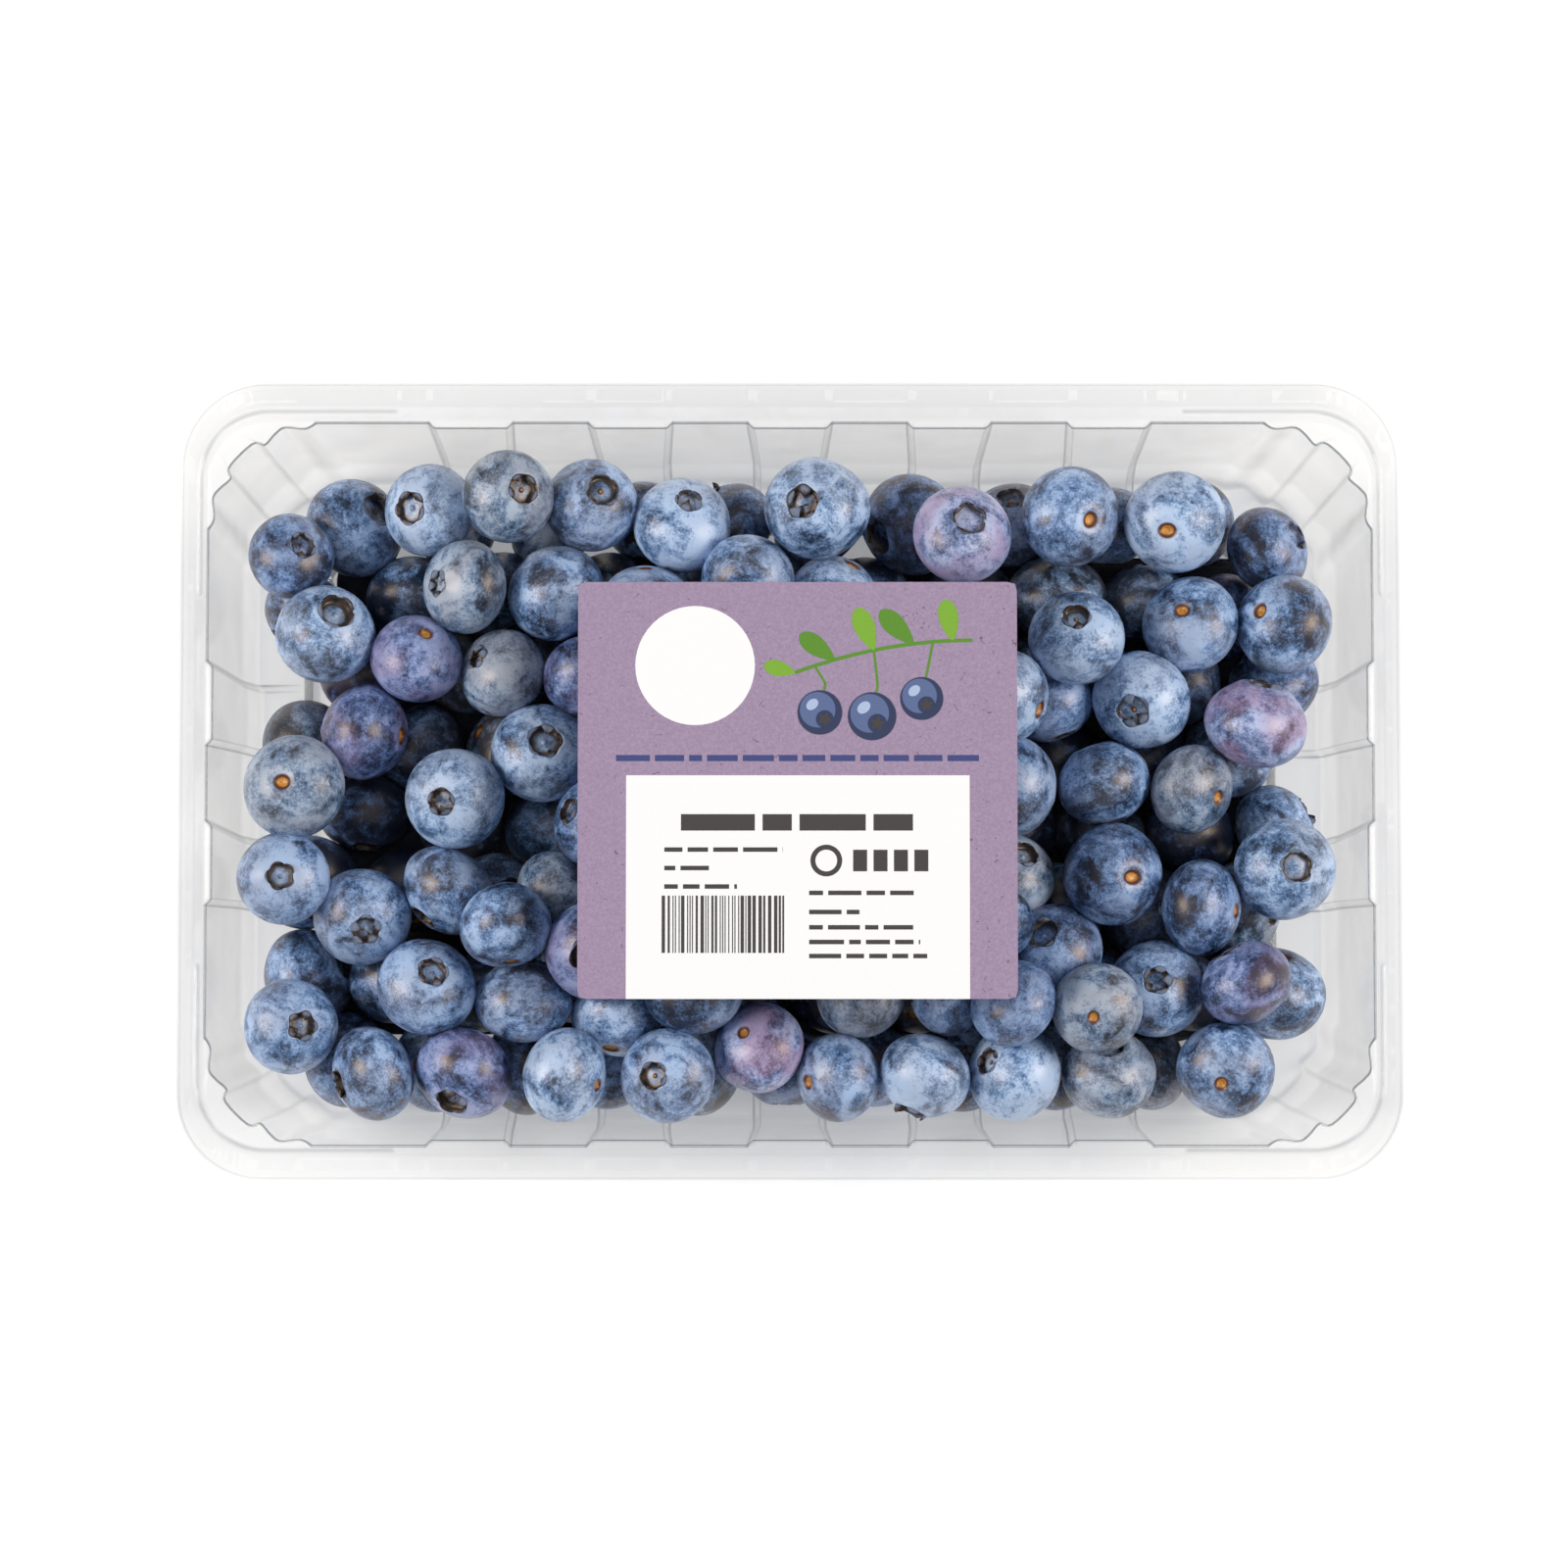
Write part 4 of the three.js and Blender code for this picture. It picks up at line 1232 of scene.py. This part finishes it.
# Skin, bloom, flush, level of bloom and share of flush for each kind
KINDS = {
    "blue": ((0.001, 0.010, 0.036, 1), (0.42, 0.58, 0.86, 1), (0.32, 0.35, 0.46, 1), 0.10, 0.35),
    "pale": ((0.003, 0.018, 0.055, 1), (0.50, 0.66, 0.92, 1), (0.43, 0.47, 0.58, 1), 0.22, 0.30),
    "slate": ((0.003, 0.011, 0.028, 1), (0.42, 0.51, 0.65, 1), (0.33, 0.33, 0.37, 1), 0.08, 0.45),
    "navy": ((0.001, 0.007, 0.028, 1), (0.33, 0.47, 0.75, 1), (0.21, 0.24, 0.36, 1), -0.02, 0.35),
    "violet": ((0.006, 0.008, 0.034, 1), (0.36, 0.43, 0.72, 1), (0.24, 0.17, 0.33, 1), 0.04, 0.50),
    "mauve": ((0.020, 0.020, 0.060, 1), (0.53, 0.58, 0.84, 1), (0.44, 0.34, 0.56, 1), 0.20, 0.70),
    "lilac": ((0.040, 0.028, 0.080, 1), (0.52, 0.58, 0.86, 1), (0.43, 0.26, 0.43, 1), 0.18, 0.60),
}
KIND_SHARES = {"blue": 0.36, "pale": 0.16, "slate": 0.18, "navy": 0.26, "violet": 0.04}

# %% [markdown]
# Each berry's own shape and looks are drawn in a fixed order: how lumpy it is, the size and the
# five-sided shape of its crater, the stretch of its scar, and its mood. A few are dented, and a
# few keep the stump of the flower's middle. Points that lie deep in the heap are painted darker as
# shade, with less bloom, since little light reaches them, but less so near the walls, where light
# comes in.

# %% Sort the berries by kind and shape each one
BERRY_SEED = 2
SWELL = (0.015, 0.033)
DENTED_SHARE = 0.12
DENTED_SWELL = 1.8
CRATER_SIZE = (0.82, 1.12)
FIVE_SIDED = (0.02, 0.09)
SCAR_STRETCH = (-0.15, 0.35)
GRAIN_SHIFT = 500
STUMP_SHARE = 0.15
BLOOM_SPREAD = 0.14
DEEP_SHADE = 0.8
NEAR_WALL_SHADE = 0.25
SHADE_FROM = 25
SHADE_TO = 9
WALL_LIGHT = (14, 24)
rng = np.random.default_rng(BERRY_SEED)
names, shares = list(KIND_SHARES), list(KIND_SHARES.values())
kinds = [mark[4] for mark in LANDMARKS]
chances = np.array(shares) / sum(shares)
kinds += [names[rng.choice(len(names), p=chances)] for _ in range(count - len(LANDMARKS))]
base_points = values_of(berry_template, "position")
base_marks = values_of(berry_template, "berry_marks")
directions = base_points / np.maximum(np.linalg.norm(base_points, axis=1), 1e-9)[:, None]
out = np.hypot(base_points[:, 0], base_points[:, 1])
around = np.arctan2(base_points[:, 1], base_points[:, 0])
by_kind = {kind: dict(shapes=[], grain=[], marks=[], mood=[]) for kind in KINDS}
berries = []
for i in range(count):
    swell = rng.uniform(*SWELL) * (DENTED_SWELL if rng.random() < DENTED_SHARE else 1)
    crater = rng.uniform(*CRATER_SIZE)
    pentagon = rng.uniform(*FIVE_SIDED)
    phase = rng.uniform(0, 2 * math.pi)
    points = base_points * (1 + lumps(directions, rng, swell))[:, None]
    near_crown = np.clip((0.6 - out) / 0.2, 0, 1) * (base_points[:, 2] > 0)
    widen = 1 + near_crown * ((crater - 1) + pentagon * np.cos(5 * (around - phase)))
    points[:, :2] *= widen[:, None]
    near_scar = np.clip((0.3 - out) / 0.15, 0, 1) * (base_points[:, 2] < 0)
    points[:, 0] *= 1 + near_scar * rng.uniform(*SCAR_STRETCH)
    points[:, 2] *= flatness[i]
    axes = axes_for(crowns[i], 0.0)
    shape = place[i] + radius[i] * points @ axes
    rows = by_kind[kinds[i]]
    rows["shapes"].append(shape)
    rows["grain"].append(base_points * radius[i] + rng.uniform(-GRAIN_SHIFT, GRAIN_SHIFT, 3))
    marked = base_marks.copy()
    if rng.random() > STUMP_SHARE:
        marked[marked[:, 0] > 0, 1] = 0
    rows["marks"].append(marked)
    mood = np.tile([rng.uniform(-BLOOM_SPREAD, BLOOM_SPREAD), rng.random(), rng.random()], (len(shape), 1))
    # Painted shade: points deep in the heap lose bloom and darken, less so near the walls.
    deep = np.clip((SHADE_FROM - shape[:, 2]) / (SHADE_FROM - SHADE_TO), 0, 1)
    from_wall = min(WALL_HALF_X - abs(place[i, 0]), WALL_HALF_Y - abs(place[i, 1]))
    heap_shade = NEAR_WALL_SHADE + (DEEP_SHADE - NEAR_WALL_SHADE) * share_of(from_wall, *WALL_LIGHT)
    mood[:, 0] -= heap_shade * deep * deep * (3 - 2 * deep)
    rows["mood"].append(mood)
    berries.append((crater, pentagon, phase, axes))

for kind, colours in KINDS.items():
    rows = by_kind[kind]
    mesh = joined_copies("berries_" + kind, berry_template, rows["shapes"], {
        "berry_grain": rows["grain"], "berry_marks": rows["marks"], "berry_mood_and_shade": rows["mood"]})
    piece_from("berries_" + kind, mesh, berry_finish("berry_" + kind, *colours), ["berries"])
    print(kind, len(rows["shapes"]), "berries,", len(rows["shapes"]) * berry_triangles, "triangles")

# %% [markdown]
# ## The crowns
# Round each crater stand five dry lobes, what is left of the flower. On some berries they are
# spread, on some folded in over the crater like a star, and on some broken short. Each lobe is a
# small curved flap. One flap is made, and five copies are bent round the rim of every berry.

# %% Make one flap
# Its x runs from -1 to 1 across it, and its y from 0 at its foot to 1 at its tip
bm = bmesh.new()
bmesh.ops.create_grid(bm, x_segments=4, y_segments=3, size=1)
for vert in bm.verts:
    vert.co.y = (vert.co.y + 1) / 2
bmesh.ops.solidify(bm, geom=list(bm.faces), thickness=0.02)
bmesh.ops.recalc_face_normals(bm, faces=bm.faces)
flap_template = mesh_from(bm, "flap_template")
flap_points = values_of(flap_template, "position")
print("triangles in a flap:", sum(len(p.vertices) - 2 for p in flap_template.polygons))

# %% Bend five flaps round each crater
CRATER_RIM = 0.335
CRATER_TOP = 0.93
LOBES = 5
shapes, tips = [], []
for i, (crater, pentagon, phase, axes) in enumerate(berries):
    spread = rng.uniform(-0.2, 1.9)
    reach = rng.uniform(0.12, 0.27) if spread > 0.4 else rng.uniform(0.14, 0.26)
    for lobe in range(LOBES):
        # The draws of one lobe: where it stands, how long it is, how it rises, how wide it is
        angle = phase + 2 * math.pi * lobe / LOBES + rng.uniform(-0.08, 0.08)
        length = reach * rng.uniform(0.3, 1.25)
        rise = spread + rng.uniform(-0.25, 0.25)
        width = rng.uniform(0.7, 0.95) * math.pi / LOBES
        u, v, thick = flap_points.T
        taper = 1 - np.clip(v, 0, 1) ** 1.6 * 0.85
        turn = angle + u * width * taper
        rim = CRATER_RIM * crater * (1 + pentagon * np.cos(5 * (turn - phase)))
        lift = rise - 0.5 * v
        inward = -length * v * np.cos(lift) + thick * np.sin(lift)
        upward = length * v * np.sin(lift) + thick * np.cos(lift) + rng.uniform(-0.006, 0.006)
        points = np.stack([(rim + inward) * np.cos(turn), (rim + inward) * np.sin(turn),
                           CRATER_TOP + upward], 1)
        points[:, 2] *= flatness[i]
        shapes.append(place[i] + radius[i] * points @ axes)
        edge = np.maximum(v, np.abs(u) * 0.75)
        tips.append(np.stack([edge, np.full_like(v, rng.random()), np.full_like(v, spread / 2)], 1))
crowns_mesh = joined_copies("berry_crowns", flap_template, shapes, {"lobe": tips})
print("flaps:", len(shapes))


# %% Finish of the lobes
LOBE_SKIN = (0.07, 0.09, 0.15, 1)
LOBE_POWDER = (0.30, 0.36, 0.50, 1)
LOBE_BLACK = (0.006, 0.005, 0.006, 1)
LOBE_BROWN = (0.13, 0.075, 0.045, 1)


def lobe_finish(name):
    """Skin-coloured and powdery where a lobe grows out, brown and black along its dry edge."""
    material, tree = new_material(name)
    lobe = add(tree, "ShaderNodeSeparateXYZ", Vector=read(tree, "lobe").outputs["Vector"])
    place = add(tree, "ShaderNodeTexCoord").outputs["Object"]
    ragged = noise(tree, place, 1400, 5, 0.65)
    edge = maths(tree, "MULTIPLY_ADD", ragged, 0.7, maths(tree, "SUBTRACT", lobe.outputs[0], 0.35))
    base = mixed(tree, ragged, LOBE_SKIN, LOBE_POWDER)
    dry = mixed(tree, ramped(tree, ragged, 0.42, 0.64), LOBE_BLACK, LOBE_BROWN)
    worn = maths(tree, "MULTIPLY_ADD", lobe.outputs[1], 0.5, maths(tree, "SUBTRACT", edge, 0.25))
    colour = mixed(tree, ramped(tree, worn, 0.35, 0.75), base, dry)
    bump = add(tree, "ShaderNodeBump", Strength=0.5, Distance=0.0003, Height=ragged)
    shader = add(tree, "ShaderNodeBsdfPrincipled", Base_Color=colour, Roughness=0.8, Normal=bump.outputs[0])
    output(tree, shader.outputs[0])
    return material


piece_from("berry_crowns", crowns_mesh, lobe_finish("dry_lobe"))
print("triangles in all the flaps:", sum(len(p.vertices) - 2 for p in crowns_mesh.polygons))

# %% [markdown]
# ## Inside the heap
# Deep in the heap it is nearly black with shade. A lumpy layer half way down, painted nearly black
# as shade, closes the gaps through the middle, where a real punnet has more berries. It is a grid
# with soft hills, thickened by Solidify, and the outer berries hide its edge.

# %% Make the dark core
CORE_HALF_X = 74
CORE_HALF_Y = 39
CORE_Z = 7.5
CORE_HILLS = 1.2
CORE_THICKNESS = 3
bm = bmesh.new()
bmesh.ops.create_grid(bm, x_segments=72, y_segments=40, size=1)
for vert in bm.verts:
    x, y = vert.co.x * CORE_HALF_X, vert.co.y * CORE_HALF_Y
    hill = math.sin(x * 0.42) * math.sin(y * 0.47 + 1.3) + 0.5 * math.sin(x * 0.19 + y * 0.23)
    vert.co = Vector((x, y, CORE_Z + CORE_HILLS * hill)) * MM
core_material, tree = new_material("heap_shadow")
place_in_core = add(tree, "ShaderNodeTexCoord").outputs["Object"]
core_noise = noise(tree, place_in_core, 300, 4)
core_shader = add(tree, "ShaderNodeBsdfPrincipled", Roughness=0.85,
                  Base_Color=mixed(tree, core_noise, (0.004, 0.005, 0.008, 1), (0.018, 0.022, 0.036, 1)))
output(tree, core_shader.outputs[0])
core = piece_from("heap_core", mesh_from(bm, "heap_core"), core_material)
core_thickness = core.modifiers.new("core", "SOLIDIFY")
core_thickness.thickness = CORE_THICKNESS * MM
print("core faces:", len(core.data.polygons))

# %% [markdown]
# ## Close the lesson
# Last, the view layer is brought up to date.

# %% Bring the view layer up to date
bpy.context.view_layer.update()
